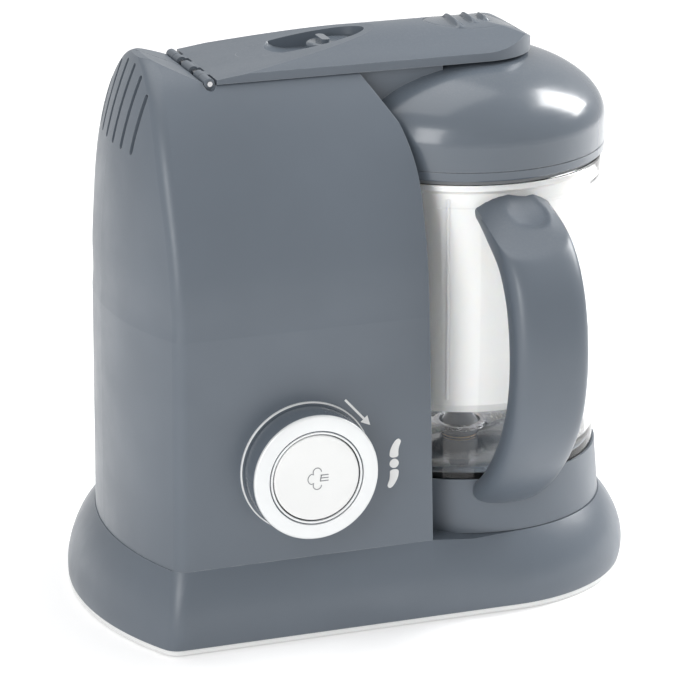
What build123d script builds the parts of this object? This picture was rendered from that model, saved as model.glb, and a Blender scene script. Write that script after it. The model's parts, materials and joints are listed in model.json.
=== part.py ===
from build123d import *
import os
from math import acos, asin, atan2, cos, degrees, hypot, radians, sin

# Baby food maker: a steam cooker and blender that share one stand.
#
# Frame: millimetres, +Z up.  The origin is on the surface the stand rests on, straight below the
# jar.  -Y is the front, where the knob and the jar's handle are.  The tower stands on the -X side.

os.makedirs("parts", exist_ok=True)

# ---------------------------------------------------------------- driving dimensions

FIT = 0.05                    # radial clearance of a shaft in its bush
GAP = 0.3                     # clearance between bodies that move past each other
WALL = 2.5                    # moulded casing walls

# base
FOOT_HEIGHT = 1.0
PLATE_TOP = 3.4
DECK_UNDERSIDE = 34.0
JAR_DECK = 36.5               # deck around the jar
TOWER_DECK = 38.9             # deck under the tower
BASE_RADIUS = 79.0            # half depth at the bottom, and the round end about the jar's axis
SIDE_INSET = 6.8              # how far the skirt's long sides lean in at the top
END_INSET = 12.9              # and its round end
SKIRT_BULGE = 2.2             # how far the skirt swells out half way up
LEFT_INSET = 15.5             # lean and swell of the bowed left end
LEFT_BULGE = 0.6
BASE_BOW_CENTRE = (-46.0, 0.0)
BASE_BOW_RADIUS = 147.2
BASE_FRONT_CORNER = 9.0
BASE_BACK_CORNER = 30.0

# tower
TOWER_HALF_DEPTH = 72.2
TOWER_BOW_CENTRE = (-35.4, -6.0)
TOWER_BOW_RADIUS = 145.0      # of the bowed left wall, at the deck
TOWER_LEAN = 0.01             # slope of the left wall
SHOULDER_TUCK = 1400.0        # above the arch's centre the left wall also curves in
ROOF_START = 205.0
ROOF_TUCK = 450.0             # and above this height it curves in faster
TOWER_FRONT_CORNER = 7.0
TOWER_BACK_CORNER = 28.0
ARCH_CENTRE = 149.0
ARCH_RISE = 117.6
TOWER_RIGHT_BOTTOM = 40.9
TOWER_RIGHT_TOP = 44.4
WAIST = 41.0                  # the base's sides turn in towards the jar from here
RAMP_END = 20.0               # the deck has fallen to the jar's level here
DECK_RIGHT = 60.2
TOP_DECK = 255.4
PEAK = (-158.7, 266.0)
BOWL_CLEARANCE_RADIUS = 70.0

# hinge of the lid
HINGE_X = -134.2
HINGE_Z = 256.2
PIN_RADIUS = 1.2
KNUCKLE_RADIUS = 2.5
KNUCKLE_TROUGH = 2.9

# lid and its arm
ARM_HALF_WIDTH = 31.4
ARM_UNDERSIDE = TOP_DECK + GAP
ARM_EDGE = 259.8
ARM_CROWN = 269.6
ARM_CROWN_RADIUS = 55.2
ARM_START = -131.0
ARM_HEEL = 2.2                # thickness of the arm where it meets the hinge
ARM_FACET_END = -45.0
LID_RADIUS = 67.2
LID_EDGE = 208.3
LID_BAND_TOP = 224.0
LID_DOME_RISE = 33.6

# jar
JAR_RADIUS = 64.4
JAR_WALL = 2.8
JAR_FLOOR = 60.0
JAR_TOP = 206.0
COLLAR_BOTTOM_RADIUS = 67.7
COLLAR_TOP_RADIUS = 65.6
COLLAR_TOP = 62.7
HANDLE_HALF_WIDTH = 17.8
BASKET_RADIUS = 58.5
BASKET_BOTTOM = 93.0
BASKET_TOP = 204.5
BASKET_WALL = 2.0

# knob
KNOB_X = -103.5
KNOB_Z = 83.5
KNOB_RADIUS = 29.9
KNOB_FACE = -88.2             # how far forward the knob reaches
BUTTON_RADIUS = 20.4
BUTTON_TRAVEL = 2.5

# motor and belt drive
MOTOR_AT = (-120.0, 12.0)
MOTOR_RADIUS = 30.0
PULLEY_BOTTOM = 14.0
MOTOR_PULLEY_RADIUS = 8.0
DRIVEN_PULLEY_RADIUS = 24.0   # three times the motor's, so the blade turns at a third of its speed
DRIVE_SHAFT_RADIUS = 5.0
BLADE_SHAFT_RADIUS = 3.0

# boiler
TANK_X = -108.0
TANK_RADIUS = 29.0
TANK_BOTTOM = 150.0
TANK_TOP = 240.0
NECK_RADIUS = 15.0
STEAM_HEIGHT = 235.0

FRONT = Plane.XZ              # local x is X, local y is Z, and it faces -Y


def front_plane(y):
    """A plane facing the front at depth y."""
    return Plane(origin=(0, y, 0), x_dir=(1, 0, 0), z_dir=(0, -1, 0))


def back_plane(y):
    """A plane facing the back at depth y; its local x is -X."""
    return Plane(origin=(0, y, 0), x_dir=(-1, 0, 0), z_dir=(0, 1, 0))


def save(builder, name):
    """Label a finished piece and write it to its own file."""
    builder.part.label = name
    export_step(builder.part, f"parts/{name}.step")


def lean_in(rise, inset, bulge):
    """How far a skirt that swells half way up has leant in; rise runs from 0 to 1."""
    return inset * rise**2 - 4 * bulge * rise * (1 - rise)


def base_outline(height, wall):
    """The base's plan at one height: bowed left end, straight sides and a round right end."""
    rise = (height - PLATE_TOP) / (TOWER_DECK - PLATE_TOP)
    side = BASE_RADIUS - lean_in(rise, SIDE_INSET, SKIRT_BULGE) - wall
    end = BASE_RADIUS - lean_in(rise, END_INSET, SKIRT_BULGE) - wall
    # the bow passes from its own circle at the bottom to the tower's at the top
    share = lean_in(rise, LEFT_INSET, LEFT_BULGE) / LEFT_INSET
    bow_x = BASE_BOW_CENTRE[0] + share * (TOWER_BOW_CENTRE[0] - BASE_BOW_CENTRE[0])
    bow_y = BASE_BOW_CENTRE[1] + share * (TOWER_BOW_CENTRE[1] - BASE_BOW_CENTRE[1])
    bow = BASE_BOW_RADIUS + share * (TOWER_BOW_RADIUS + 0.4 - BASE_BOW_RADIUS) - wall
    front_x = bow_x - (bow**2 - (side + bow_y) ** 2) ** 0.5
    back_x = bow_x - (bow**2 - (side - bow_y) ** 2) ** 0.5
    # where a line from the waist touches the round end
    turn = atan2(side, -WAIST) - acos(end / hypot(WAIST, side))
    touch = (end * cos(turn), end * sin(turn))
    with BuildSketch(mode=Mode.PRIVATE) as outline:
        with BuildLine():
            ThreePointArc((touch[0], -touch[1]), (end, 0), touch)
            Polyline(touch, (-WAIST, side), (back_x, side))
            ThreePointArc((back_x, side), (bow_x - bow, bow_y), (front_x, -side))
            Polyline((front_x, -side), (-WAIST, -side), (touch[0], -touch[1]))
        make_face()
        fillet(outline.vertices().group_by(Axis.Y)[0].sort_by(Axis.X)[0], BASE_FRONT_CORNER - wall)
        fillet(outline.vertices().group_by(Axis.Y)[-1].sort_by(Axis.X)[0], BASE_BACK_CORNER - wall)
    return outline.sketch


def skirt(wall, bottom, top):
    """The base's flared body; wall gives the hollow inside it."""
    with BuildPart(mode=Mode.PRIVATE) as body:
        for share in (0, 0.35, 0.7, 1):
            height = bottom + share * (top - bottom)
            with BuildSketch(Plane.XY.offset(height)):
                add(base_outline(height, wall))
        loft()
    return body.part


def tower_section(height, wall):
    """The tower's plan at one height: a bowed left wall between two rounded corners."""
    arch = (1 - (max(height - ARCH_CENTRE, 0) / ARCH_RISE) ** 2) ** 0.5
    half_depth = TOWER_HALF_DEPTH * arch - wall
    lean = TOWER_LEAN * (height - TOWER_DECK)
    shoulder = max(height - ARCH_CENTRE, 0) ** 2 / SHOULDER_TUCK
    tuck = max(height - ROOF_START, 0) ** 2 / ROOF_TUCK
    bow = TOWER_BOW_RADIUS - lean - shoulder - tuck - wall
    bow_x = TOWER_BOW_CENTRE[0]
    bow_y = TOWER_BOW_CENTRE[1] * arch
    front_x = bow_x - (bow**2 - (half_depth + bow_y) ** 2) ** 0.5
    back_x = bow_x - (bow**2 - (half_depth - bow_y) ** 2) ** 0.5
    back_radius = max(TOWER_BACK_CORNER * arch, TOWER_FRONT_CORNER) - wall
    with BuildSketch(Plane.XY.offset(height), mode=Mode.PRIVATE) as plan:
        with BuildLine():
            ThreePointArc((front_x, -half_depth), (bow_x - bow, bow_y), (back_x, half_depth))
            Polyline((back_x, half_depth), (0, half_depth), (0, -half_depth), (front_x, -half_depth))
        make_face()
        fillet(plan.vertices().group_by(Axis.Y)[0].sort_by(Axis.X)[0], TOWER_FRONT_CORNER - wall)
        fillet(plan.vertices().group_by(Axis.Y)[-1].sort_by(Axis.X)[0], back_radius)
    return plan.sketch


def tower_body(wall, bottom):
    """The tower's solid form; wall shrinks it to the hollow inside its shells."""
    arch_heights = [ARCH_CENTRE + ARCH_RISE * sin(radians(angle)) for angle in range(0, 85, 9)]
    with BuildPart(mode=Mode.PRIVATE) as body:
        for height in (bottom, ARCH_CENTRE):
            add(tower_section(height, wall))
        loft(ruled=True)
        for height in arch_heights:
            add(tower_section(height, wall))
        loft()
        # right side, top deck and the roof that falls to the hinge
        with BuildSketch(FRONT):
            with BuildLine():
                right = Line(
                    (-TOWER_RIGHT_BOTTOM - wall, bottom), (-TOWER_RIGHT_TOP - wall, ROOF_START)
                )
                shoulder = TangentArc(
                    right @ 1, (-DECK_RIGHT - wall, TOP_DECK - wall), tangent=right % 1
                )
                Polyline(
                    shoulder @ 1,
                    (HINGE_X, TOP_DECK - wall),
                    (PEAK[0], PEAK[1] - wall),
                    (PEAK[0] - 50, PEAK[1] + 22 - wall),
                    (PEAK[0] - 50, bottom),
                    right @ 0,
                )
            make_face()
        extrude(amount=100, both=True, mode=Mode.INTERSECT)
        # hollow that the jar and its lid stand in
        with BuildSketch(Plane.XY.offset(bottom)):
            Circle(BOWL_CLEARANCE_RADIUS + wall)
        extrude(amount=300, mode=Mode.SUBTRACT)
    return body.part


# ---------------------------------------------------------------- base

FOOT_PLACES = [(-165, -52), (-165, 52), (0, 0), (40, -52), (40, 52)]
BASE_SCREW_PLACES = [(-150, -64), (-150, 60), (-60, -64), (-60, 64), (56, -27), (56, 27)]
GLAND_PLACE = (120, 18)       # on the back face, as (-X, Z)

with BuildPart() as base_shell:
    add(skirt(0, PLATE_TOP, TOWER_DECK))
    add(skirt(WALL, PLATE_TOP - 0.01, DECK_UNDERSIDE), mode=Mode.SUBTRACT)
    # the deck falls from the tower's level to the jar's
    with BuildSketch(FRONT):
        with BuildLine():
            Polyline(
                (-WAIST + 0.5, TOWER_DECK),
                (-RAMP_END, JAR_DECK),
                (100, JAR_DECK),
                (100, 60),
                (-WAIST + 0.5, 60),
                close=True,
            )
        make_face()
    extrude(amount=100, both=True, mode=Mode.SUBTRACT)
    # round seat of the jar's collar
    with BuildSketch(Plane.XY.offset(JAR_DECK)):
        Circle(COLLAR_BOTTOM_RADIUS + 0.6)
    extrude(amount=20, mode=Mode.SUBTRACT)
    # drive opening under the jar and the motor's shaft opening
    with BuildSketch(Plane.XY.offset(DECK_UNDERSIDE)):
        Circle(20)
        with Locations(MOTOR_AT):
            Circle(12)
    extrude(amount=20, mode=Mode.SUBTRACT)
    # screw posts, hanging from the deck
    with BuildSketch(Plane.XY.offset(PLATE_TOP)):
        with Locations(*BASE_SCREW_PLACES):
            Circle(4)
            Circle(1.6, mode=Mode.SUBTRACT)
    extrude(amount=DECK_UNDERSIDE - PLATE_TOP)
    # cable gland opening, low in the back
    with BuildSketch(back_plane(BASE_RADIUS - 10)):
        with Locations(GLAND_PLACE):
            Circle(6)
    extrude(amount=20, mode=Mode.SUBTRACT)
save(base_shell, "base_shell")

with BuildPart() as bottom_plate:
    with BuildSketch(Plane.XY.offset(FOOT_HEIGHT)):
        add(base_outline(PLATE_TOP, 0.6))
        with Locations(*BASE_SCREW_PLACES):
            Circle(1.8, mode=Mode.SUBTRACT)
        with Locations(*FOOT_PLACES):
            Circle(3, mode=Mode.SUBTRACT)
    extrude(amount=PLATE_TOP - FOOT_HEIGHT)
    # seats for the screw heads
    with BuildSketch(Plane.XY.offset(FOOT_HEIGHT)):
        with Locations(*BASE_SCREW_PLACES):
            Circle(3.2)
    extrude(amount=1.2, mode=Mode.SUBTRACT)
    # ventilation slots below the motor
    with BuildSketch(Plane.XY.offset(FOOT_HEIGHT)):
        with Locations((-115, 0)):
            with GridLocations(7, 0, 6, 1):
                SlotOverall(34, 2.6, rotation=90)
    extrude(amount=10, mode=Mode.SUBTRACT)
save(bottom_plate, "bottom_plate")

with BuildPart() as rubber_feet:
    with BuildSketch(Plane.XY):
        with Locations(*FOOT_PLACES):
            Circle(8)
    extrude(amount=FOOT_HEIGHT)
    with BuildSketch(Plane.XY.offset(FOOT_HEIGHT)):
        with Locations(*FOOT_PLACES):
            Circle(3 - FIT)
    extrude(amount=PLATE_TOP - FOOT_HEIGHT)
save(rubber_feet, "rubber_feet")

with BuildPart() as base_screws:
    with BuildSketch(Plane.XY.offset(FOOT_HEIGHT + 0.1)):
        with Locations(*BASE_SCREW_PLACES):
            Circle(3)
            RegularPolygon(1.2, 6, mode=Mode.SUBTRACT)
    extrude(amount=1.1)
    with BuildSketch(Plane.XY.offset(FOOT_HEIGHT + 1.2)):
        with Locations(*BASE_SCREW_PLACES):
            Circle(1.6 - FIT)
    extrude(amount=12)
save(base_screws, "base_screws")

with BuildPart() as cable_gland:
    # barrel through the wall, with a flange outside
    with BuildSketch(back_plane(BASE_RADIUS - 14)):
        with Locations(GLAND_PLACE):
            Circle(6 - FIT)
            Circle(3.5, mode=Mode.SUBTRACT)
    extrude(amount=15.4)
    with BuildSketch(back_plane(BASE_RADIUS + 1.4)):
        with Locations(GLAND_PLACE):
            Circle(8)
            Circle(3.5, mode=Mode.SUBTRACT)
    extrude(amount=2.6)
save(cable_gland, "cable_gland")

# ---------------------------------------------------------------- tower shells

SLOT_COUNT = 6
SLOT_PITCH = 11.3
SLOT_WIDTH = 3.0
SLOT_BOTTOM = 226.0
SLOT_MARGIN = 4.0             # left between a slot's end and the arch
SHELL_SCREW_PLACES = [(-155, 47), (-80, 47), (-150, 205)]
SCREW_RADIUS = 1.5
SCREW_HEAD = 58.0             # depth of the screws' heads, sunk in the back shell's bosses
POST_END = 38.0               # the front shell's screw posts reach back to this depth
HALF_KNUCKLE = (20.5, 30.0)   # the tower's knuckles lie between these depths
ROOF_GROOVE = 6.5


def tower_shell(side):
    """Front (side = -1) or back (side = 1) half of the tower's casing."""
    with BuildPart() as shell:
        add(tower_body(0, TOWER_DECK))
        add(tower_body(WALL, TOWER_DECK - 1), mode=Mode.SUBTRACT)
        # trough that the hinge's knuckles turn in
        with BuildSketch(FRONT):
            with Locations((HINGE_X, HINGE_Z)):
                Circle(KNUCKLE_TROUGH)
        extrude(amount=100, both=True, mode=Mode.SUBTRACT)
        # knuckle, standing on a web from the deck
        knuckle_plane = front_plane(side * HALF_KNUCKLE[0])
        with BuildSketch(knuckle_plane):
            with Locations((HINGE_X, HINGE_Z)):
                Circle(KNUCKLE_RADIUS)
            with Locations((HINGE_X, HINGE_Z - 5)):
                Rectangle(2 * KNUCKLE_RADIUS, 10)
            with Locations((HINGE_X, HINGE_Z)):
                Circle(PIN_RADIUS + FIT, mode=Mode.SUBTRACT)
        extrude(amount=-side * (HALF_KNUCKLE[1] - HALF_KNUCKLE[0]))
        # opening for the tank's filler neck
        with BuildSketch(Plane.XY.offset(TOP_DECK - 20)):
            with Locations((TANK_X, 0)):
                Circle(NECK_RADIUS + 5)
        extrude(amount=40, mode=Mode.SUBTRACT)
        # steam outlet in the wall that faces the lid
        with BuildSketch(Plane.YZ.offset(-90)):
            with Locations((0, STEAM_HEIGHT)):
                Circle(4.1)
        extrude(amount=40, mode=Mode.SUBTRACT)
        # long ventilation slots, high in the left wall
        with BuildSketch(Plane.YZ.offset(-200)):
            for place in range(SLOT_COUNT):
                depth = (place - (SLOT_COUNT - 1) / 2) * SLOT_PITCH
                arch = (1 - (depth / TOWER_HALF_DEPTH) ** 2) ** 0.5
                slot_top = ARCH_CENTRE + ARCH_RISE * arch - SLOT_MARGIN
                with Locations((depth, (SLOT_BOTTOM + slot_top) / 2)):
                    SlotOverall(slot_top - SLOT_BOTTOM, SLOT_WIDTH, rotation=90)
        extrude(amount=45, mode=Mode.SUBTRACT)
        # fine parting groove along the roof
        with BuildSketch(front_plane(ROOF_GROOVE)):
            with BuildLine():
                Polyline(
                    (PEAK[0], PEAK[1] + 1),
                    (PEAK[0], PEAK[1] - 0.6),
                    (HINGE_X, TOP_DECK - 0.6),
                    (HINGE_X, TOP_DECK + 1),
                    close=True,
                )
            make_face()
        extrude(amount=0.5, mode=Mode.SUBTRACT)
        # keep this half
        split(bisect_by=Plane.XZ.offset(0.02 if side < 0 else -0.02),
              keep=Keep.TOP if side < 0 else Keep.BOTTOM)
    return shell


with BuildPart() as front_shell:
    add(tower_shell(-1).part)
    # posts that the shell screws bite into
    for place in SHELL_SCREW_PLACES:
        with BuildSketch(front_plane(POST_END)):
            with Locations(place):
                Circle(3.5)
        extrude(until=Until.NEXT)
        with BuildSketch(front_plane(POST_END)):
            with Locations(place):
                Circle(SCREW_RADIUS + FIT)
        extrude(amount=20, mode=Mode.SUBTRACT)
    # openings behind the knob
    with BuildSketch(front_plane(-TOWER_HALF_DEPTH - 5)):
        with Locations((KNOB_X, KNOB_Z)):
            Circle(10)
    extrude(amount=-20, mode=Mode.SUBTRACT)
save(front_shell, "tower_front_shell")

with BuildPart() as back_shell:
    add(tower_shell(1).part)
    # bosses that the screws' heads sink into
    for x, z in SHELL_SCREW_PLACES:
        with BuildSketch(back_plane(POST_END + 0.1)):
            with Locations((-x, z)):
                Circle(4.6)
        extrude(until=Until.NEXT)
    for depth, radius in ((POST_END - 1, SCREW_RADIUS + 3 * FIT), (SCREW_HEAD - 2, 3.2)):
        with BuildSketch(back_plane(depth)):
            with Locations(*[(-x, z) for x, z in SHELL_SCREW_PLACES]):
                Circle(radius)
        extrude(amount=60, mode=Mode.SUBTRACT)
save(back_shell, "tower_back_shell")

with BuildPart() as shell_screws:
    # driven from the back, each into a post of the front shell
    for place in SHELL_SCREW_PLACES:
        with BuildSketch(front_plane(SCREW_HEAD)):
            with Locations(place):
                Circle(2.9)
                RegularPolygon(1.2, 6, mode=Mode.SUBTRACT)
        extrude(amount=2)
        with BuildSketch(front_plane(SCREW_HEAD - 1)):
            with Locations(place):
                Circle(SCREW_RADIUS)
        extrude(amount=SCREW_HEAD - POST_END + 13)
save(shell_screws, "shell_screws")

with BuildPart() as hinge_pin:
    with BuildSketch(front_plane(HALF_KNUCKLE[1] + 1)):
        with Locations((HINGE_X, HINGE_Z)):
            Circle(PIN_RADIUS)
    extrude(amount=2 * (HALF_KNUCKLE[1] + 1))
save(hinge_pin, "hinge_pin")

# ---------------------------------------------------------------- motor and belt drive

with BuildPart() as motor_bracket:
    with BuildSketch(Plane.XY.offset(TOWER_DECK)):
        with Locations(MOTOR_AT):
            Circle(MOTOR_RADIUS + 3)
            Circle(11, mode=Mode.SUBTRACT)
            with PolarLocations(MOTOR_RADIUS - 5, 4, 45):
                Circle(2, mode=Mode.SUBTRACT)
    extrude(amount=3)
save(motor_bracket, "motor_bracket")

MOTOR_BOTTOM = TOWER_DECK + 3
with BuildPart() as motor_case:
    with BuildSketch(Plane.XY.offset(MOTOR_BOTTOM)):
        with Locations(MOTOR_AT):
            Circle(MOTOR_RADIUS)
            Circle(6, mode=Mode.SUBTRACT)
    extrude(amount=66)
    fillet(motor_case.faces().sort_by(Axis.Z)[-1].edges(), 3)
    with BuildSketch(Plane.XY.offset(MOTOR_BOTTOM + 20)):
        with Locations(MOTOR_AT):
            Circle(22)
    extrude(amount=42, mode=Mode.SUBTRACT)
    # cooling windows in the can
    with BuildSketch(Plane.XY.offset(MOTOR_BOTTOM + 30)):
        with Locations(MOTOR_AT):
            with PolarLocations(MOTOR_RADIUS - 4, 8):
                Rectangle(16, 5)
    extrude(amount=22, mode=Mode.SUBTRACT)
save(motor_case, "motor_case")

with BuildPart() as motor_bush:
    with BuildSketch(Plane.XY.offset(MOTOR_BOTTOM)):
        with Locations(MOTOR_AT):
            Circle(6 - FIT)
            Circle(2.5 + FIT, mode=Mode.SUBTRACT)
    extrude(amount=12)
save(motor_bush, "motor_bush")

with BuildPart() as motor_rotor:
    # shaft, with the wound rotor on it inside the can
    with BuildSketch(Plane.XY.offset(PULLEY_BOTTOM - 2)):
        with Locations(MOTOR_AT):
            Circle(2.5)
    extrude(amount=MOTOR_BOTTOM + 60 - PULLEY_BOTTOM + 2)
    with BuildSketch(Plane.XY.offset(MOTOR_BOTTOM + 24)):
        with Locations(MOTOR_AT):
            Circle(20)
    extrude(amount=34)
save(motor_rotor, "motor_rotor")


def pulley(radius, bore, place):
    """Flat-belt pulley with a flange above and below its running face."""
    with BuildPart() as wheel:
        for bottom, height, reach in ((0, 2, 2.5), (2, 8, 0), (10, 2, 2.5)):
            with BuildSketch(Plane.XY.offset(PULLEY_BOTTOM + bottom)):
                with Locations(place):
                    Circle(radius + reach)
                    Circle(bore, mode=Mode.SUBTRACT)
            extrude(amount=height)
    return wheel


motor_pulley = pulley(MOTOR_PULLEY_RADIUS, 2.5, MOTOR_AT)
save(motor_pulley, "motor_pulley")

driven_pulley = pulley(DRIVEN_PULLEY_RADIUS, DRIVE_SHAFT_RADIUS, (0, 0))
save(driven_pulley, "driven_pulley")

with BuildPart() as drive_belt:
    for extra, mode in ((1.8, Mode.ADD), (GAP, Mode.SUBTRACT)):
        with BuildSketch(Plane.XY.offset(PULLEY_BOTTOM + 3)):
            Circle(DRIVEN_PULLEY_RADIUS + extra)
            with Locations(MOTOR_AT):
                Circle(MOTOR_PULLEY_RADIUS + extra)
            make_hull()
        extrude(amount=6, mode=mode)
save(drive_belt, "drive_belt")

with BuildPart() as drive_bearing:
    with BuildSketch(Plane.XY.offset(28)):
        Circle(20 - FIT)
        Circle(DRIVE_SHAFT_RADIUS + FIT, mode=Mode.SUBTRACT)
    extrude(amount=12)
    with BuildSketch(Plane.XY.offset(28)):
        Circle(25)
        Circle(19, mode=Mode.SUBTRACT)
    extrude(amount=DECK_UNDERSIDE - 28)
save(drive_bearing, "drive_bearing")

with BuildPart() as drive_shaft:
    with BuildSketch(Plane.XY.offset(PULLEY_BOTTOM - 4)):
        Circle(DRIVE_SHAFT_RADIUS)
    extrude(amount=34)
    # six-lobed driving head
    with BuildSketch(Plane.XY.offset(PULLEY_BOTTOM + 30)):
        Circle(9)
        with PolarLocations(9, 6):
            Circle(2)
    extrude(amount=6)
save(drive_shaft, "drive_shaft")

# ---------------------------------------------------------------- boiler and controls

TANK_AXIS = Axis((TANK_X, 0, 0), (0, 0, 1))
TANK_PLANE = Plane(origin=(TANK_X, 0, 0), x_dir=(1, 0, 0), z_dir=(0, -1, 0))
TANK_WALL = 2.0
with BuildPart() as water_tank:
    # straight cup, open at the top
    with BuildSketch(TANK_PLANE):
        with BuildLine():
            Polyline(
                (0, TANK_BOTTOM),
                (TANK_RADIUS, TANK_BOTTOM),
                (TANK_RADIUS, TANK_TOP),
                (TANK_RADIUS - TANK_WALL, TANK_TOP),
                (TANK_RADIUS - TANK_WALL, TANK_BOTTOM + TANK_WALL),
                (0, TANK_BOTTOM + TANK_WALL),
                close=True,
            )
        make_face()
    revolve(axis=TANK_AXIS)
    # outlet stub for the steam
    with BuildSketch(Plane.YZ.offset(TANK_X + TANK_RADIUS - 1)):
        with Locations((0, STEAM_HEIGHT)):
            Circle(4)
    extrude(amount=1.4)
    with BuildSketch(Plane.YZ.offset(TANK_X + TANK_RADIUS - 4)):
        with Locations((0, STEAM_HEIGHT)):
            Circle(2.5)
    extrude(amount=8, mode=Mode.SUBTRACT)
save(water_tank, "water_tank")

with BuildPart() as tank_cover:
    # closes the cup and carries the filler neck
    with BuildSketch(TANK_PLANE):
        with BuildLine():
            Polyline(
                (NECK_RADIUS, TANK_TOP),
                (TANK_RADIUS, TANK_TOP),
                (TANK_RADIUS, TANK_TOP + TANK_WALL),
                (NECK_RADIUS + TANK_WALL, TANK_TOP + TANK_WALL),
                (NECK_RADIUS + TANK_WALL, TOP_DECK - 3),
                (NECK_RADIUS, TOP_DECK - 3),
                close=True,
            )
        make_face()
    revolve(axis=TANK_AXIS)
save(tank_cover, "tank_cover")

with BuildPart() as neck_ring:
    # collar that seals the tank's neck to the deck
    with BuildSketch(Plane.XY.offset(TOP_DECK - 5)):
        with Locations((TANK_X, 0)):
            Circle(NECK_RADIUS + 5 - FIT)
            Circle(NECK_RADIUS + 2 + FIT, mode=Mode.SUBTRACT)
    extrude(amount=4.6)
save(neck_ring, "neck_ring")

with BuildPart() as heating_element:
    with BuildSketch(Plane.XY.offset(TANK_BOTTOM - 4)):
        with Locations((TANK_X, 0)):
            Circle(24)
            Circle(15, mode=Mode.SUBTRACT)
    extrude(amount=4)
    # connection tails
    with BuildSketch(Plane.XY.offset(TANK_BOTTOM - 16)):
        with Locations((TANK_X - 19, -4), (TANK_X - 19, 4)):
            Rectangle(1.5, 5)
    extrude(amount=12)
save(heating_element, "heating_element")

with BuildPart() as thermostat:
    with BuildSketch(Plane.XY.offset(TANK_BOTTOM - 10)):
        with Locations((TANK_X, 0)):
            Circle(9)
    extrude(amount=10)
    with BuildSketch(Plane.XY.offset(TANK_BOTTOM - 18)):
        with Locations((TANK_X - 4, 0), (TANK_X + 4, 0)):
            Rectangle(1, 6)
    extrude(amount=8)
save(thermostat, "thermostat")

with BuildPart() as steam_nozzle:
    # short pipe from the tank to the wall that faces the lid
    nozzle_start = TANK_X + TANK_RADIUS + 0.4
    with BuildSketch(Plane.YZ.offset(nozzle_start)):
        with Locations((0, STEAM_HEIGHT)):
            Circle(4)
            Circle(2.5, mode=Mode.SUBTRACT)
    extrude(amount=-BOWL_CLEARANCE_RADIUS - 0.3 - nozzle_start)
save(steam_nozzle, "steam_nozzle")

SWITCH_BACK = -50.0
with BuildPart() as rotary_switch:
    with BuildSketch(front_plane(SWITCH_BACK)):
        with Locations((KNOB_X, KNOB_Z)):
            RectangleRounded(30, 30, 3)
    extrude(amount=14)
    with BuildSketch(front_plane(SWITCH_BACK - 14)):
        with Locations((KNOB_X, KNOB_Z)):
            Circle(9)
            Circle(4.2, mode=Mode.SUBTRACT)
    extrude(amount=4)
save(rotary_switch, "rotary_switch")

with BuildPart() as circuit_board:
    with BuildSketch(front_plane(-46)):
        with Locations((KNOB_X, KNOB_Z + 6)):
            Rectangle(58, 72)
            with GridLocations(50, 64, 2, 2):
                Circle(1.6, mode=Mode.SUBTRACT)
    extrude(amount=1.6)
    # components standing on the back of the board
    with BuildSketch(front_plane(-46)):
        with Locations((KNOB_X - 12, KNOB_Z + 32), (KNOB_X + 14, KNOB_Z + 32)):
            Rectangle(16, 12)
    extrude(amount=-10)
    fillet(circuit_board.faces().sort_by(Axis.Y)[-2:].edges(), 0.8)
save(circuit_board, "circuit_board")

# ---------------------------------------------------------------- knob and steam button

BEZEL_FACE = -TOWER_HALF_DEPTH - 1.6
KNOB_BACK = BEZEL_FACE - GAP
KNOB_RIM = KNOB_FACE + 1.0
KNOB_WELL = KNOB_FACE + 8.0

with BuildPart() as knob_bezel:
    with BuildSketch(front_plane(-TOWER_HALF_DEPTH)):
        with Locations((KNOB_X, KNOB_Z)):
            Circle(KNOB_RADIUS + 1.6)
            Circle(12, mode=Mode.SUBTRACT)
    extrude(amount=1.6)
    fillet(knob_bezel.faces().sort_by(Axis.Y)[0].outer_wire().edges(), 0.6)
save(knob_bezel, "knob_bezel")

with BuildPart() as knob_body:
    with BuildSketch(front_plane(KNOB_BACK)):
        with Locations((KNOB_X, KNOB_Z)):
            Circle(KNOB_RADIUS)
    extrude(amount=KNOB_BACK - KNOB_RIM)
    fillet(knob_body.faces().sort_by(Axis.Y)[0].edges(), 1.2)
    # well of the steam button, and the seat of the face ring
    with BuildSketch(front_plane(KNOB_WELL)):
        with Locations((KNOB_X, KNOB_Z)):
            Circle(BUTTON_RADIUS + 0.6)
    extrude(amount=20, mode=Mode.SUBTRACT)
    with BuildSketch(front_plane(KNOB_BACK)):
        with Locations((KNOB_X, KNOB_Z)):
            Circle(26)
    extrude(amount=3, mode=Mode.SUBTRACT)
    # stem that turns the switch
    with BuildSketch(front_plane(SWITCH_BACK - 15)):
        with Locations((KNOB_X, KNOB_Z)):
            Circle(4)
    extrude(amount=SWITCH_BACK - 15 - KNOB_WELL)
    with BuildSketch(front_plane(KNOB_WELL + 6)):
        with Locations((KNOB_X, KNOB_Z)):
            Circle(2.6)
    extrude(amount=10, mode=Mode.SUBTRACT)
save(knob_body, "knob_body")

with BuildPart() as knob_face:
    with BuildSketch(front_plane(KNOB_RIM)):
        with Locations((KNOB_X, KNOB_Z)):
            Circle(KNOB_RADIUS - 1.3)
            Circle(BUTTON_RADIUS + 0.6, mode=Mode.SUBTRACT)
    extrude(amount=KNOB_RIM - KNOB_FACE)
    fillet(knob_face.faces().sort_by(Axis.Y)[0].edges(), 0.45)
save(knob_face, "knob_face")

with BuildPart() as steam_button:
    with BuildSketch(front_plane(KNOB_WELL - 4.2)):
        with Locations((KNOB_X, KNOB_Z)):
            Circle(BUTTON_RADIUS)
    extrude(amount=-KNOB_FACE + KNOB_WELL - 4.4)
    fillet(steam_button.faces().sort_by(Axis.Y)[0].edges(), 0.5)
    with BuildSketch(front_plane(KNOB_WELL + 3)):
        with Locations((KNOB_X, KNOB_Z)):
            Circle(2.5)
    extrude(amount=8)
save(steam_button, "steam_button")

with BuildPart() as button_spring:
    # wave washer, shorter than the gap that is left when the button is down
    with BuildSketch(front_plane(KNOB_WELL)):
        with Locations((KNOB_X, KNOB_Z)):
            Circle(9)
            Circle(6, mode=Mode.SUBTRACT)
    extrude(amount=1.2)
save(button_spring, "button_spring")

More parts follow.
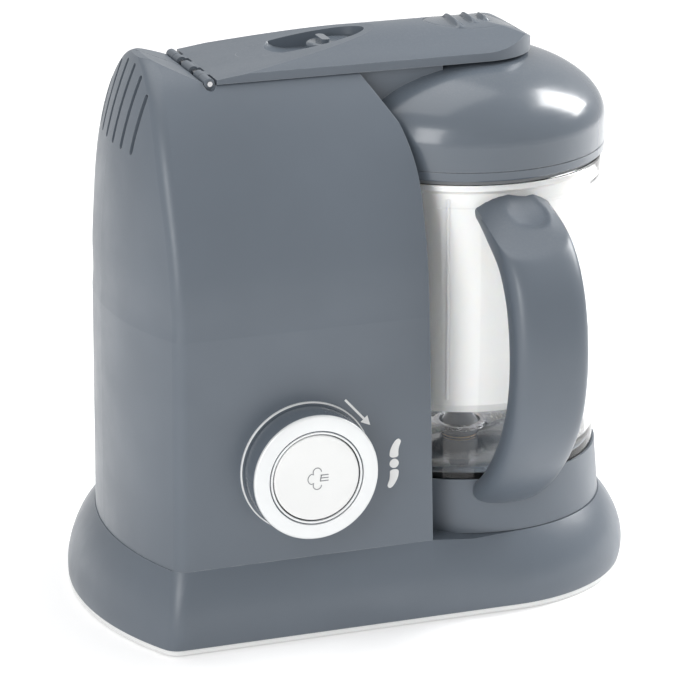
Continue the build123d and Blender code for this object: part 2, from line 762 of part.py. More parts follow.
# ---------------------------------------------------------------- jar, collar and handle


def ring(profile):
    """A ring turned about the jar's axis from (radius, height) corners."""
    with BuildPart() as turned:
        with BuildSketch(FRONT):
            with BuildLine():
                Polyline(*profile, close=True)
            make_face()
        revolve(axis=Axis.Z)
    return turned


with BuildPart() as jar:
    inner = JAR_RADIUS - JAR_WALL
    add(ring([
        (8, JAR_FLOOR),
        (JAR_RADIUS, JAR_FLOOR),
        (JAR_RADIUS, 194.6),
        (JAR_RADIUS + 1.2, 196.0),
        (JAR_RADIUS + 1.2, JAR_TOP),
        (inner, JAR_TOP),
        (inner, JAR_FLOOR + 8),
        (inner - 5, JAR_FLOOR + 3),
        (8, JAR_FLOOR + 3),
    ]).part)
    # shallow groove round the rim
    with BuildSketch(FRONT):
        with Locations((JAR_RADIUS, 201.0)):
            Circle(0.9)
    revolve(axis=Axis.Z, mode=Mode.SUBTRACT)
save(jar, "jar")

jar_collar = ring([
    (44, 55.5),
    (44, 59.7),
    (JAR_RADIUS + 0.1, 59.7),
    (JAR_RADIUS + 0.1, COLLAR_TOP),
    (COLLAR_TOP_RADIUS, COLLAR_TOP),
    (COLLAR_BOTTOM_RADIUS, JAR_DECK + GAP),
    (COLLAR_BOTTOM_RADIUS - 2.6, JAR_DECK + GAP),
    (COLLAR_TOP_RADIUS - 2.8, 55.5),
])
save(jar_collar, "jar_collar")

bayonet_ring = ring([
    (32, JAR_DECK),
    (50, JAR_DECK),
    (50, JAR_DECK + 2),
    (40, JAR_DECK + 2),
    (40, 50),
    (36, 50),
    (36, JAR_DECK + 2),
    (32, JAR_DECK + 2),
])
save(bayonet_ring, "bayonet_ring")

# middle line of the handle as (depth, height), with its thickness at each point
HANDLE_LINE = [
    (-58, 195.2, 12),
    (-78, 187.5, 14),
    (-94, 178.5, 17),
    (-104.5, 164, 19.5),
    (-109.5, 146, 20),
    (-110.2, 127, 20),
    (-106.3, 108, 19.5),
    (-97, 90, 18),
    (-83, 73, 16),
    (-70, 61.7, 14.5),
    (-58, 53.7, 14),
]
with BuildPart() as jar_handle:
    with BuildLine(Plane.YZ, mode=Mode.PRIVATE):
        spine = Spline(*[(depth, height) for depth, height, thickness in HANDLE_LINE])
    for depth, height, thickness in HANDLE_LINE:
        place = spine.param_at_point((0, depth, height))
        across = Plane(origin=spine @ place, x_dir=(1, 0, 0), z_dir=spine % place)
        with BuildSketch(across):
            RectangleRounded(2 * HANDLE_HALF_WIDTH, thickness, 0.42 * thickness)
    loft()
    # root of the handle, shaped to the jar and its collar
    with BuildSketch(FRONT):
        with BuildLine():
            Polyline(
                (0, 30),
                (COLLAR_BOTTOM_RADIUS + 0.9, 30),
                (COLLAR_TOP_RADIUS + 0.1, COLLAR_TOP + 0.1),
                (JAR_RADIUS + 0.1, COLLAR_TOP + 0.1),
                (JAR_RADIUS + 0.1, 190),
                (JAR_RADIUS + 1.4, 194),
                (JAR_RADIUS + 1.4, 220),
                (0, 220),
                close=True,
            )
        make_face()
    revolve(axis=Axis.Z, mode=Mode.SUBTRACT)
save(jar_handle, "jar_handle")

blade_bush = ring([
    (BLADE_SHAFT_RADIUS + FIT, 56),
    (8 - FIT, 56),
    (8 - FIT, JAR_FLOOR + 3.2),
    (BLADE_SHAFT_RADIUS + FIT, JAR_FLOOR + 3.2),
])
save(blade_bush, "blade_bush")

with BuildPart() as blade_shaft:
    with BuildSketch(Plane.XY.offset(50.2)):
        Circle(BLADE_SHAFT_RADIUS)
    extrude(amount=38)
    # driven head, resting on the shaft below
    with BuildSketch(Plane.XY.offset(50.2)):
        Circle(10)
        with PolarLocations(10, 6):
            Circle(2)
    extrude(amount=4.5)
save(blade_shaft, "blade_shaft")

with BuildPart() as blade_hub:
    add(ring([
        (BLADE_SHAFT_RADIUS, 64),
        (11, 64),
        (9, 76),
        (6, 86),
        (BLADE_SHAFT_RADIUS, 88),
    ]).part)
save(blade_hub, "blade_hub")

with BuildPart() as blade:
    # two sweeping wings, each a curved strip that narrows to its tip
    for turn in (0, 180):
        plane = Plane(origin=(0, 0, 68), x_dir=(cos(radians(turn)), sin(radians(turn)), 0))
        with BuildSketch(plane):
            with BuildLine():
                lead = ThreePointArc((0, 11), (26, 14), (47, -4))
                trail = ThreePointArc((47, -4), (26, -2), (0, -11))
                Line(trail @ 1, lead @ 0)
            make_face()
        extrude(amount=1.6)
    with BuildSketch(Plane.XY.offset(68)):
        Circle(13)
    extrude(amount=1.6)
    with BuildSketch(Plane.XY.offset(67)):
        Circle(10.45)
    extrude(amount=4, mode=Mode.SUBTRACT)
save(blade, "blade")

# ---------------------------------------------------------------- steam basket

with BuildPart() as basket:
    inner = BASKET_RADIUS - BASKET_WALL
    add(ring([
        (0, BASKET_BOTTOM),
        (BASKET_RADIUS - 4, BASKET_BOTTOM),
        (BASKET_RADIUS - 2, BASKET_BOTTOM + 4),
        (BASKET_RADIUS, BASKET_TOP - 4),
        (JAR_RADIUS - JAR_WALL - 0.4, BASKET_TOP - 2),
        (JAR_RADIUS - JAR_WALL - 0.4, BASKET_TOP),
        (inner, BASKET_TOP),
        (inner - 2, BASKET_BOTTOM + BASKET_WALL + 4),
        (inner - 4, BASKET_BOTTOM + BASKET_WALL),
        (0, BASKET_BOTTOM + BASKET_WALL),
    ]).part)
    # steam holes in the floor
    with BuildSketch(Plane.XY.offset(BASKET_BOTTOM - 1)):
        for radius, count in ((10, 6), (20, 12), (30, 18), (40, 24)):
            with PolarLocations(radius, count):
                Circle(1.6)
    extrude(amount=6, mode=Mode.SUBTRACT)
save(basket, "basket")

# ---------------------------------------------------------------- lid


def dome(shrink, bottom, top):
    """Half-oval form of the lid; shrink gives its hollow."""
    radius = LID_RADIUS - shrink
    rise = LID_DOME_RISE - shrink
    reach = degrees(asin(min((top - LID_BAND_TOP) / rise, 1)))
    with BuildPart(mode=Mode.PRIVATE) as form:
        with BuildSketch(FRONT):
            with BuildLine():
                bend = EllipticalCenterArc((0, LID_BAND_TOP), radius, rise, 0, arc_size=reach)
                Polyline(bend @ 1, (0, (bend @ 1).Y), (0, bottom), (radius, bottom), bend @ 0)
            make_face()
        revolve(axis=Axis.Z)
    return form.part


with BuildPart() as dome_lid:
    add(dome(0, LID_EDGE, TOP_DECK))
    add(dome(WALL, LID_EDGE - 1, TOP_DECK - WALL), mode=Mode.SUBTRACT)
    fillet(dome_lid.edges().filter_by(GeomType.CIRCLE).group_by(Axis.Z)[0].sort_by(SortBy.RADIUS)[-1], 0.8)
    # parting groove above the edge
    with BuildSketch(FRONT):
        with Locations((LID_RADIUS, LID_EDGE + 4.5)):
            Rectangle(0.8, 0.5)
    revolve(axis=Axis.Z, mode=Mode.SUBTRACT)
    # steam inlet
    with BuildSketch(Plane.YZ.offset(-70)):
        with Locations((0, STEAM_HEIGHT)):
            Circle(4)
    extrude(amount=30, mode=Mode.SUBTRACT)
save(dome_lid, "dome_lid")

lid_seal = ring([
    (57.0, JAR_TOP + GAP),
    (64.2, JAR_TOP + GAP),
    (64.2, LID_EDGE + 4),
    (57.0, LID_EDGE + 4),
])
save(lid_seal, "lid_seal")

with BuildPart() as lid_liner:
    add(ring([
        (0, LID_EDGE + 4),
        (64.4, LID_EDGE + 4),
        (64.4, LID_EDGE + 6),
        (30, LID_EDGE + 10),
        (0, LID_EDGE + 10),
    ]).part)
    # dripping steam holes
    with BuildSketch(Plane.XY.offset(LID_EDGE)):
        with PolarLocations(20, 8):
            Circle(1.8)
    extrude(amount=20, mode=Mode.SUBTRACT)
save(lid_liner, "lid_liner")

with BuildPart() as steam_duct:
    # hollow bridge between the tower and the dome, under the arm
    with BuildSketch(Plane.XY.offset(229.6)):
        with Locations((-46, 0)):
            Rectangle(50, 56)
        Circle(BOWL_CLEARANCE_RADIUS - 1.2, mode=Mode.INTERSECT)
    extrude(amount=TOP_DECK - 229.6)
    with BuildSketch(Plane.YZ.offset(-80)):
        with Locations((0, STEAM_HEIGHT)):
            Circle(4)
    extrude(amount=60, mode=Mode.SUBTRACT)
    add(dome(-0.05, LID_EDGE, TOP_DECK + 0.01), mode=Mode.SUBTRACT)
save(steam_duct, "steam_duct")

# ---------------------------------------------------------------- arm of the lid

ARM_BASE_TOP = ARM_UNDERSIDE + 1.5
RECESS = (-112.0, -50.0)
RECESS_HALF_WIDTH = 13.0
RECESS_FLOOR = 258.8
RELEASE_X = 3.0
RELEASE_LENGTH = 46.0
RELEASE_WIDTH = 30.0


def arm_form(shrink, bottom):
    """The arm's crowned solid form; shrink gives the hollow inside its cover."""
    half_width = ARM_HALF_WIDTH - shrink
    with BuildPart(mode=Mode.PRIVATE) as form:
        with BuildSketch(Plane.XY.offset(bottom)):
            with BuildLine():
                ThreePointArc((0, -half_width), (half_width, 0), (0, half_width))
                Polyline(
                    (0, half_width),
                    (ARM_START + shrink, half_width),
                    (ARM_START + shrink, -half_width),
                    (0, -half_width),
                )
            make_face()
        extrude(amount=30)
        # crown across the arm
        with BuildSketch(Plane.YZ):
            with BuildLine():
                ThreePointArc(
                    (-half_width, ARM_EDGE - shrink),
                    (0, ARM_CROWN - shrink),
                    (half_width, ARM_EDGE - shrink),
                )
                Polyline(
                    (half_width, ARM_EDGE - shrink),
                    (half_width, bottom),
                    (-half_width, bottom),
                    (-half_width, ARM_EDGE - shrink),
                )
            make_face()
        extrude(amount=200, both=True, mode=Mode.INTERSECT)
        # facet that rises from the hinge, level back and falling nose
        with BuildSketch(FRONT):
            with BuildLine():
                half_angle = asin(0.5 * half_width / ARM_CROWN_RADIUS)
                nose_middle = ARM_CROWN - ARM_CROWN_RADIUS * (1 - cos(half_angle))
                ThreePointArc(
                    (0, ARM_CROWN - shrink),
                    (0.5 * half_width, nose_middle - shrink),
                    (half_width, ARM_EDGE - shrink),
                )
                Polyline(
                    (half_width, ARM_EDGE - shrink),
                    (half_width, bottom),
                    (ARM_START, bottom),
                    (ARM_START, ARM_UNDERSIDE + ARM_HEEL - shrink),
                    (ARM_FACET_END, ARM_CROWN - shrink),
                    (0, ARM_CROWN - shrink),
                )
            make_face()
        extrude(amount=100, both=True, mode=Mode.INTERSECT)
    return form.part


def oval(x_low, x_high, width):
    """An oval across the arm's middle line."""
    with BuildSketch(mode=Mode.PRIVATE) as outline:
        with Locations(((x_low + x_high) / 2, 0)):
            Ellipse((x_high - x_low) / 2, width / 2)
    return outline.sketch


RELEASE_LOW = RELEASE_X - RELEASE_LENGTH / 2
RELEASE_HIGH = RELEASE_X + RELEASE_LENGTH / 2

with BuildPart() as arm_cover:
    add(arm_form(0, ARM_UNDERSIDE))
    # hollow under the cover, leaving the recess's walls and the button's guide
    with BuildPart(mode=Mode.PRIVATE) as hollow:
        add(arm_form(2.2, ARM_UNDERSIDE - 5))
        with BuildSketch(Plane.XY.offset(ARM_UNDERSIDE - 6)):
            with Locations((ARM_START, 0)):
                Rectangle(28, 80, align=(Align.MIN, Align.CENTER))
            add(oval(RECESS[0] - 2, RECESS[1] + 2, 2 * RECESS_HALF_WIDTH + 4))
            add(oval(RELEASE_LOW - 2, RELEASE_HIGH + 2, RELEASE_WIDTH + 4))
        extrude(amount=40, mode=Mode.SUBTRACT)
    add(hollow.part, mode=Mode.SUBTRACT)
    with BuildSketch(Plane.XY.offset(RECESS_FLOOR)):
        add(oval(*RECESS, 2 * RECESS_HALF_WIDTH))
    extrude(amount=30, mode=Mode.SUBTRACT)
    with BuildSketch(Plane.XY.offset(ARM_BASE_TOP + 1.4)):
        add(oval(RELEASE_LOW, RELEASE_HIGH, RELEASE_WIDTH))
    extrude(amount=30, mode=Mode.SUBTRACT)
    # seat of the plate that closes the underside
    with BuildSketch(Plane.XY.offset(ARM_UNDERSIDE)):
        with BuildLine():
            edge = ARM_HALF_WIDTH - 1.2
            ThreePointArc((0, -edge), (edge, 0), (0, edge))
            Polyline((0, edge), (-112, edge), (-112, -edge), (0, -edge))
        make_face()
    extrude(amount=ARM_BASE_TOP - ARM_UNDERSIDE, mode=Mode.SUBTRACT)
    # knuckles on the hinge pin
    for front, back in ((-20, -13), (-6, 6), (13, 20)):
        with BuildSketch(front_plane(back)):
            with Locations((HINGE_X, HINGE_Z)):
                Circle(KNUCKLE_RADIUS)
            with Locations((HINGE_X, ARM_UNDERSIDE)):
                Rectangle(9, ARM_HEEL, align=(Align.MIN, Align.MIN))
            with Locations((HINGE_X, HINGE_Z)):
                Circle(PIN_RADIUS + FIT, mode=Mode.SUBTRACT)
        extrude(amount=back - front)
save(arm_cover, "arm_cover")

with BuildPart() as arm_base:
    with BuildSketch(Plane.XY.offset(ARM_UNDERSIDE)):
        with BuildLine():
            edge = ARM_HALF_WIDTH - 1.25
            ThreePointArc((0, -edge), (edge, 0), (0, edge))
            Polyline((0, edge), (-111.9, edge), (-111.9, -edge), (0, -edge))
        make_face()
        with Locations((-104, 24), (-104, -24), (-30, 22), (-30, -22), (22, 0)):
            Circle(1.4, mode=Mode.SUBTRACT)
    extrude(amount=ARM_BASE_TOP - ARM_UNDERSIDE)
save(arm_base, "arm_base")

with BuildPart() as tank_plug:
    with BuildSketch(Plane.XY.offset(ARM_UNDERSIDE)):
        with Locations((TANK_X + 1, 0)):
            Circle(9.8)
    extrude(amount=-8)
    fillet(tank_plug.faces().sort_by(Axis.Z)[0].edges(), 2)
save(tank_plug, "tank_plug")

with BuildPart() as plug_seal:
    with BuildSketch(Plane.XY.offset(ARM_UNDERSIDE)):
        with Locations((TANK_X + 1, 0)):
            Circle(13)
            Circle(9.8 + FIT, mode=Mode.SUBTRACT)
    extrude(amount=-2)
save(plug_seal, "plug_seal")

with BuildPart() as lock_slider:
    with BuildSketch(Plane.XY.offset(RECESS_FLOOR + GAP)):
        add(oval(-78, RECESS[1] - 1.5, 19))
    extrude(amount=5)
    fillet(lock_slider.faces().sort_by(Axis.Z)[-1].edges(), 1.6)
    # finger tab
    with BuildSketch(Plane.XY.offset(RECESS_FLOOR + GAP + 3)):
        with Locations((-70, 0)):
            SlotOverall(12, 4, rotation=90)
    extrude(amount=4)
save(lock_slider, "lock_slider")

RELEASE_FLOOR = ARM_BASE_TOP + 1.4
with BuildPart() as release_button:
    add(arm_form(0, ARM_UNDERSIDE))
    with BuildSketch(Plane.XY.offset(RELEASE_FLOOR + BUTTON_TRAVEL + 1.6)):
        add(oval(RELEASE_LOW + GAP, RELEASE_HIGH - GAP, RELEASE_WIDTH - 2 * GAP))
    extrude(amount=30, mode=Mode.INTERSECT)
    # grip ridges across the button
    with BuildSketch(front_plane(0)):
        with Locations((RELEASE_X - 11, ARM_CROWN - 0.6), (RELEASE_X - 3, ARM_CROWN - 0.6),
                       (RELEASE_X + 5, ARM_CROWN - 1.0)):
            Circle(1.9)
    extrude(amount=7, both=True)
save(release_button, "release_button")

with BuildPart() as release_spring:
    with BuildSketch(Plane.XY.offset(RELEASE_FLOOR)):
        with Locations((RELEASE_X, 0)):
            Circle(8)
            Circle(5, mode=Mode.SUBTRACT)
    extrude(amount=1.4)
save(release_spring, "release_spring")

with BuildPart() as arm_screws:
    with BuildSketch(Plane.XY.offset(ARM_UNDERSIDE)):
        with Locations((-104, 24), (-104, -24), (-30, 22), (-30, -22), (22, 0)):
            Circle(1.4 - FIT)
    extrude(amount=1.5)
save(arm_screws, "arm_screws")
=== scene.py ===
import json
from math import atan2, cos, hypot, pi, radians, sin, sqrt, tan

import bmesh
import bpy
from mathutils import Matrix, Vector


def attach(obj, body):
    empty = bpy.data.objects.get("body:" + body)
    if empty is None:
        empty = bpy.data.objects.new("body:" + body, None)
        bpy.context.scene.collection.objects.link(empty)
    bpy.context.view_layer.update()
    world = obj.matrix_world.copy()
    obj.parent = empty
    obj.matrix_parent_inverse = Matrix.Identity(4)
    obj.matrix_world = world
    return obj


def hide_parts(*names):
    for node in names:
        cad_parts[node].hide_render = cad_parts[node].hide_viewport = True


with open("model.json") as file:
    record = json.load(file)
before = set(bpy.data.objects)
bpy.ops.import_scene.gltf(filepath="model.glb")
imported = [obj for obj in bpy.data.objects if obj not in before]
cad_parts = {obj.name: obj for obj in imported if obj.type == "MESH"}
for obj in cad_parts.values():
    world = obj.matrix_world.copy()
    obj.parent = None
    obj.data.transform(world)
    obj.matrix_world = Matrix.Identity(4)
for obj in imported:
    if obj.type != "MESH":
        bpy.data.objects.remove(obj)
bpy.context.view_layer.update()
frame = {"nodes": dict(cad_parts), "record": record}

MM = 0.001
TURN = 2 * pi

# ---------------------------------------------------------------- sizes, in millimetres

JAR_RADIUS = 64.4
JAR_INSIDE = 61.6
JAR_FLOOR = 60.0
JAR_FLOOR_THICKNESS = 3.0
JAR_FLOOR_HOLE = 8.0                  # radius of the hole in its floor
JAR_RIM_BOTTOM = 194.6
JAR_RIM_FLARE = 1.2                   # how far the rim stands out from the wall
JAR_TOP = 206.0
COLLAR_BOTTOM = (36.8, 67.7)          # height, radius
COLLAR_TOP = (62.7, 65.6)
BACKING_LEVELS = (59.72, 59.92)       # underside and top of the dark plate below the jar's floor
BACKING_RADII = (8.6, 64.0)

RIB_RADIUS = 57.35                    # from the jar's axis to the middle of a rib
RIB_MIDDLE = 149.0
RIB_LENGTH = 98.0
RIB_HALF_THICKNESS = 0.9
FIRST_RIB_ANGLE = 62.7                # degrees
BASKET_TAPER = (2.0, 103.5)           # growth of the wall's radius, over this height

BLADE_ROOT = 11.0                     # from the axis to the start of a wing
BLADE_LENGTH = 36.0
BLADE_LEVEL = 68.8
BLADE_TIP_RISE = 6.5
BLADE_CAMBER = 0.8
BLADE_HALF_THICKNESS = 0.8
GROUND_EDGE = (0.12, 3.2)             # share of the thickness at the edge, and its growth inward

FRONT_FACE = -72.2                    # depth of the tower's front
KNOB_X = -103.5
KNOB_Z = 83.5
KNOB_FACE = -88.2
BUTTON_RADIUS = 20.4
BUTTON_FACE = -88.0
SIGN_LINE = 0.42                      # width of the lines of the button's sign
ARROW_START = (-84.4, 113.6)
ARROW_TIP = (-72.2, 100.0)
ARROW_LINE = 1.05
ARROW_HEAD = (4.6, 2.2)               # length, half width
BLADE_SIGN = (-60.4, 79.7)            # its middle
BLADE_SIGN_HUB = 2.25
BLADE_PETAL = [
    (-2.3, 2.9), (-2.2, 6.3), (-0.8, 9.4), (0.7, 11.4), (2.2, 12.1),
    (3.3, 10.9), (3.0, 9.6), (2.2, 7.6), (2.0, 5.5), (2.1, 2.9),
]

ARM_CROWN = 269.6
ARM_CROWN_RADIUS = 55.2
RELEASE_MIDDLE = 3.0
RELEASE_HALF_LENGTH = 22.7
RELEASE_HALF_WIDTH = 14.7
RELEASE_UNDERSIDE = 263.0
PAD_EDGE_START = 0.96                 # share of the way out at which the pad's edge starts to fall
PAD_EDGE_FALL = 0.25
GRIP_RIDGES = [                       # middle, front end, back end
    (-7.5, -13.4, 9),
    (1.0, -9.5, 8.5),
    (8.5, -5.5, 6.5),
]
RIDGE_HEIGHT = 2.0
RIDGE_STEEP_SIDE = 1.3
RIDGE_GENTLE_SIDE = 3.4
RIDGE_BOW = 0.9
RECESS_LEFT = -112.0
RECESS_RIGHT = -50.0
RECESS_HALF_WIDTH = 13.0
RECESS_FLOOR = 258.8
ARM_SLOPE_START = (-131.0, 257.9)     # the arm's slope rises from here, above the hinge
ARM_SLOPE = 11.7 / 86
SCOOP_LIP = -98.0
SCOOP_LENGTH = 10.0
SCOOP_LIP_BOW = 6.0                   # how far the lip bends towards the slider at its sides
SCOOP_START = 0.1                     # gap to the recess's end
SCOOP_REACH = 27.0
SCOOP_SIDE_GAP = 0.04
SCOOP_DROP = 0.03                     # how far its top lies below the arm's slope
SCOOP_COVER = 0.06                    # how far its floor lies above the recess's floor
SCOOP_DEPTH = 0.2                     # how far it reaches into the recess's floor

HANDLE_HALF_WIDTH = 17.8
# middle line of the handle as (depth, height, thickness, squareness)
HANDLE_LINE = [
    (-56, 197.4, 15.5, 3.6),
    (-67, 193.8, 17, 3.6),
    (-78, 188.4, 17.5, 3.8),
    (-94, 178.6, 17.5, 4.0),
    (-104.5, 164, 19.5, 3.6),
    (-109.5, 146, 20, 3.4),
    (-110.2, 127, 20, 3.2),
    (-106.3, 108, 19.5, 3.0),
    (-97, 90, 18, 2.8),
    (-83, 73, 16, 2.6),
    (-70, 61.7, 14.5, 2.4),
    (-56, 52.5, 14, 2.4),
]
THUMB_FACE = (-63.0, 195.9)           # depth and height of the thumb face's inner edge
THUMB_FALL = 0.36
THUMB_CROWN = 7.4
THUMB_TILT = 0.14                     # how much the thumb face leans towards the tower
THUMB_TILT_REACH = 30.0               # distance over which the tilt grows
THUMB_REACH = 42.0                    # distance over which the crown dies out
THUMB_LOWEST = 176.0                  # the thumb face ends at this height
DIMPLE_MIDDLE = (3.0, -75.0)          # x and depth
DIMPLE_HALF = (9.5, 12.0)
DIMPLE_DEPTH = 2.4
ROOT_GAP = 0.12                       # between the handle's ends and the jar

BASE_SCREW_PLACES = [(-150, -64), (-150, 60), (-60, -64), (-60, 64), (56, -27), (56, 27)]
BASE_SCREW_HEAD = (1.55, 2.9, 1.1)    # height of its middle, radius, thickness
ARM_SCREW_PLACES = [(-104, 24), (-104, -24), (-30, 22), (-30, -22), (22, 0)]
ARM_SCREW_HEAD = (255.75, 2.3, 0.5)
SCREW_CROSS = 0.8                     # width of the cross cut in a head

FOOT_PLACES = [(-165, -52), (-165, 52), (0, 0), (40, -52), (40, 52)]
# half section of a foot as (radius, height, rounding), with two rings in its sole
FOOT_SECTION = [
    (0, 0, 0), (3.4, 0, 0.1), (3.7, 0.35, 0), (4.3, 0.35, 0), (4.6, 0, 0.1),
    (5.6, 0, 0.1), (5.9, 0.35, 0), (6.5, 0.35, 0), (6.8, 0, 0.1), (8, 0, 0.3),
    (8, 1.0, 0), (2.95, 1.0, 0), (2.95, 3.4, 0.3), (0, 3.4, 0),
]

CAMERA_AZIMUTH = -19.46               # degrees
CAMERA_ELEVATION = 18.67
CAMERA_TARGET = (-56.5, 0, 111.5)
CAMERA_DISTANCE = 1.6524              # metres
CAMERA_LENS = 177.77
LIGHT_TARGET = (-0.05, 0, 0.13)       # metres

# ---------------------------------------------------------------- tones of wear

RUBBED_TONE = 0.85                    # worn plastic fades towards this tone
RUBBED_SHARE = 0.28
DUST_COLOR = (0.62, 0.61, 0.59, 1)
CLEAR_SHADOW_PASS = 0.94              # share of the light that passes a clear wall

# ---------------------------------------------------------------- node trees


class Tree:
    """Shorthand for making and joining the nodes of one tree."""

    def __init__(self, tree):
        self.tree = tree

    def node(self, kind, inputs=(), **settings):
        made = self.tree.nodes.new(kind)
        for name, value in settings.items():
            setattr(made, name, value)
        for name, value in dict(inputs).items():
            self.feed(made.inputs[name], value)
        return made

    def feed(self, socket, value):
        if isinstance(value, bpy.types.NodeSocket):
            self.tree.links.new(value, socket)
        else:
            socket.default_value = value

    def math(self, operation, first, second=0.0, clamp=False):
        made = self.node("ShaderNodeMath", {0: first, 1: second}, operation=operation, use_clamp=clamp)
        return made.outputs[0]

    def remap(self, value, low, high, to_low=0.0, to_high=1.0):
        made = self.node("ShaderNodeMapRange", {
            "Value": value, "From Min": low, "From Max": high, "To Min": to_low, "To Max": to_high,
        })
        return made.outputs["Result"]

    def noise(self, where, scale, detail=2.0, roughness=0.5):
        made = self.node("ShaderNodeTexNoise", {
            "Vector": where, "Scale": scale, "Detail": detail, "Roughness": roughness,
        })
        return made.outputs["Fac"]

    def mix_color(self, share, first, second):
        made = self.node("ShaderNodeMix", data_type="RGBA")
        self.feed(made.inputs["Factor"], share)
        self.feed(made.inputs[6], first)
        self.feed(made.inputs[7], second)
        return made.outputs[2]


def new_group(kind, name, inputs, outputs):
    """An empty node group with named sockets; returns it, its Tree and its two end nodes."""
    group = bpy.data.node_groups.new(name, kind)
    for label, socket, value in inputs:
        made = group.interface.new_socket(label, in_out="INPUT", socket_type=socket)
        if value is not None:
            made.default_value = value
    for label, socket in outputs:
        group.interface.new_socket(label, in_out="OUTPUT", socket_type=socket)
    tree = Tree(group)
    return group, tree, tree.node("NodeGroupInput"), tree.node("NodeGroupOutput")


def moulded_grain_group():
    """Fine spark-eroded grain of moulded plastic, with soft clouds of tone and of handling."""
    group, tree, source, out = new_group("ShaderNodeTree", "moulded_grain", [
        ("Coordinates", "NodeSocketVector", None),
        ("Grains per Metre", "NodeSocketFloat", 1500.0),
        ("Flow per Metre", "NodeSocketFloat", 9.0),
    ], [("Height", "NodeSocketFloat"), ("Tone", "NodeSocketFloat"), ("Handling", "NodeSocketFloat")])
    where = source.outputs["Coordinates"]
    grain = tree.noise(where, source.outputs["Grains per Metre"], 3.0, 0.65)
    coarse = tree.noise(where, tree.math("MULTIPLY", source.outputs["Grains per Metre"], 0.3), 2.0)
    tree.feed(out.inputs["Height"], tree.math("ADD", tree.math("MULTIPLY", grain, 0.7),
                                              tree.math("MULTIPLY", coarse, 0.3)))
    tree.feed(out.inputs["Tone"], tree.noise(where, source.outputs["Flow per Metre"], 3.0, 0.6))
    smears = tree.noise(where, tree.math("MULTIPLY", source.outputs["Flow per Metre"], 4.0), 4.0, 0.6)
    tree.feed(out.inputs["Handling"], tree.remap(smears, 0.4, 0.7))
    return group


def edge_wear_group():
    """Mask of the outer edges, broken up as rubbing breaks them up."""
    group, tree, source, out = new_group("ShaderNodeTree", "edge_wear", [
        ("Coordinates", "NodeSocketVector", None),
        ("Reach", "NodeSocketFloat", 0.0008),
        ("Amount", "NodeSocketFloat", 0.5),
    ], [("Mask", "NodeSocketFloat")])
    rounded_normal = tree.node("ShaderNodeBevel", {"Radius": source.outputs["Reach"]}, samples=4)
    geometry = tree.node("ShaderNodeNewGeometry")
    agreement = tree.node("ShaderNodeVectorMath", {
        0: rounded_normal.outputs[0], 1: geometry.outputs["Normal"],
    }, operation="DOT_PRODUCT")
    edge = tree.remap(agreement.outputs["Value"], 0.97, 0.75)
    patches = tree.remap(tree.noise(source.outputs["Coordinates"], 160.0, 4.0, 0.7), 0.35, 0.65)
    worn = tree.math("MULTIPLY", edge, tree.math("MULTIPLY", patches, source.outputs["Amount"]), clamp=True)
    tree.feed(out.inputs["Mask"], worn)
    return group


def brushed_group():
    """Fine streaks along one direction, as grinding or turning leaves on metal."""
    group, tree, source, out = new_group("ShaderNodeTree", "brushed_metal", [
        ("Coordinates", "NodeSocketVector", None),
        ("Lines per Metre", "NodeSocketFloat", 2500.0),
    ], [("Height", "NodeSocketFloat"), ("Streak", "NodeSocketFloat")])
    stretched = tree.node("ShaderNodeVectorMath", {0: source.outputs["Coordinates"], 1: (1.0, 0.02, 1.0)},
                          operation="MULTIPLY")
    lines = tree.noise(stretched.outputs[0], source.outputs["Lines per Metre"], 3.0, 0.6)
    tree.feed(out.inputs["Height"], lines)
    tree.feed(out.inputs["Streak"], tree.remap(lines, 0.3, 0.7))
    return group


def gathered_dust_group():
    """A faint film on what faces up."""
    group, tree, source, out = new_group("ShaderNodeTree", "gathered_dust", [
        ("Coordinates", "NodeSocketVector", None),
        ("Facing", "NodeSocketVector", None),
        ("Amount", "NodeSocketFloat", 0.05),
    ], [("Mask", "NodeSocketFloat")])
    parts = tree.node("ShaderNodeSeparateXYZ", {0: source.outputs["Facing"]})
    upward = tree.remap(parts.outputs["Z"], 0.75, 1.0)
    motes = tree.noise(source.outputs["Coordinates"], 900.0, 4.0, 0.7)
    film = tree.math("MULTIPLY", upward, tree.remap(motes, 0.45, 0.75))
    tree.feed(out.inputs["Mask"], tree.math("MULTIPLY", film, source.outputs["Amount"], clamp=True))
    return group


GROUPS = {}


def use_group(tree, name, inputs):
    """Adds a shared group to a tree; returns the group's outputs."""
    made = tree.node("ShaderNodeGroup", node_tree=GROUPS[name])
    for label, value in inputs.items():
        tree.feed(made.inputs[label], value)
    return made.outputs


# ---------------------------------------------------------------- materials


def new_material(name):
    """A new material; returns it, its Tree, its shader and the texture coordinates."""
    material = bpy.data.materials.new(name)
    material.use_nodes = True
    tree = Tree(material.node_tree)
    shader = material.node_tree.nodes["Principled BSDF"]
    place = tree.node("ShaderNodeTexCoord")
    return material, tree, shader, place.outputs


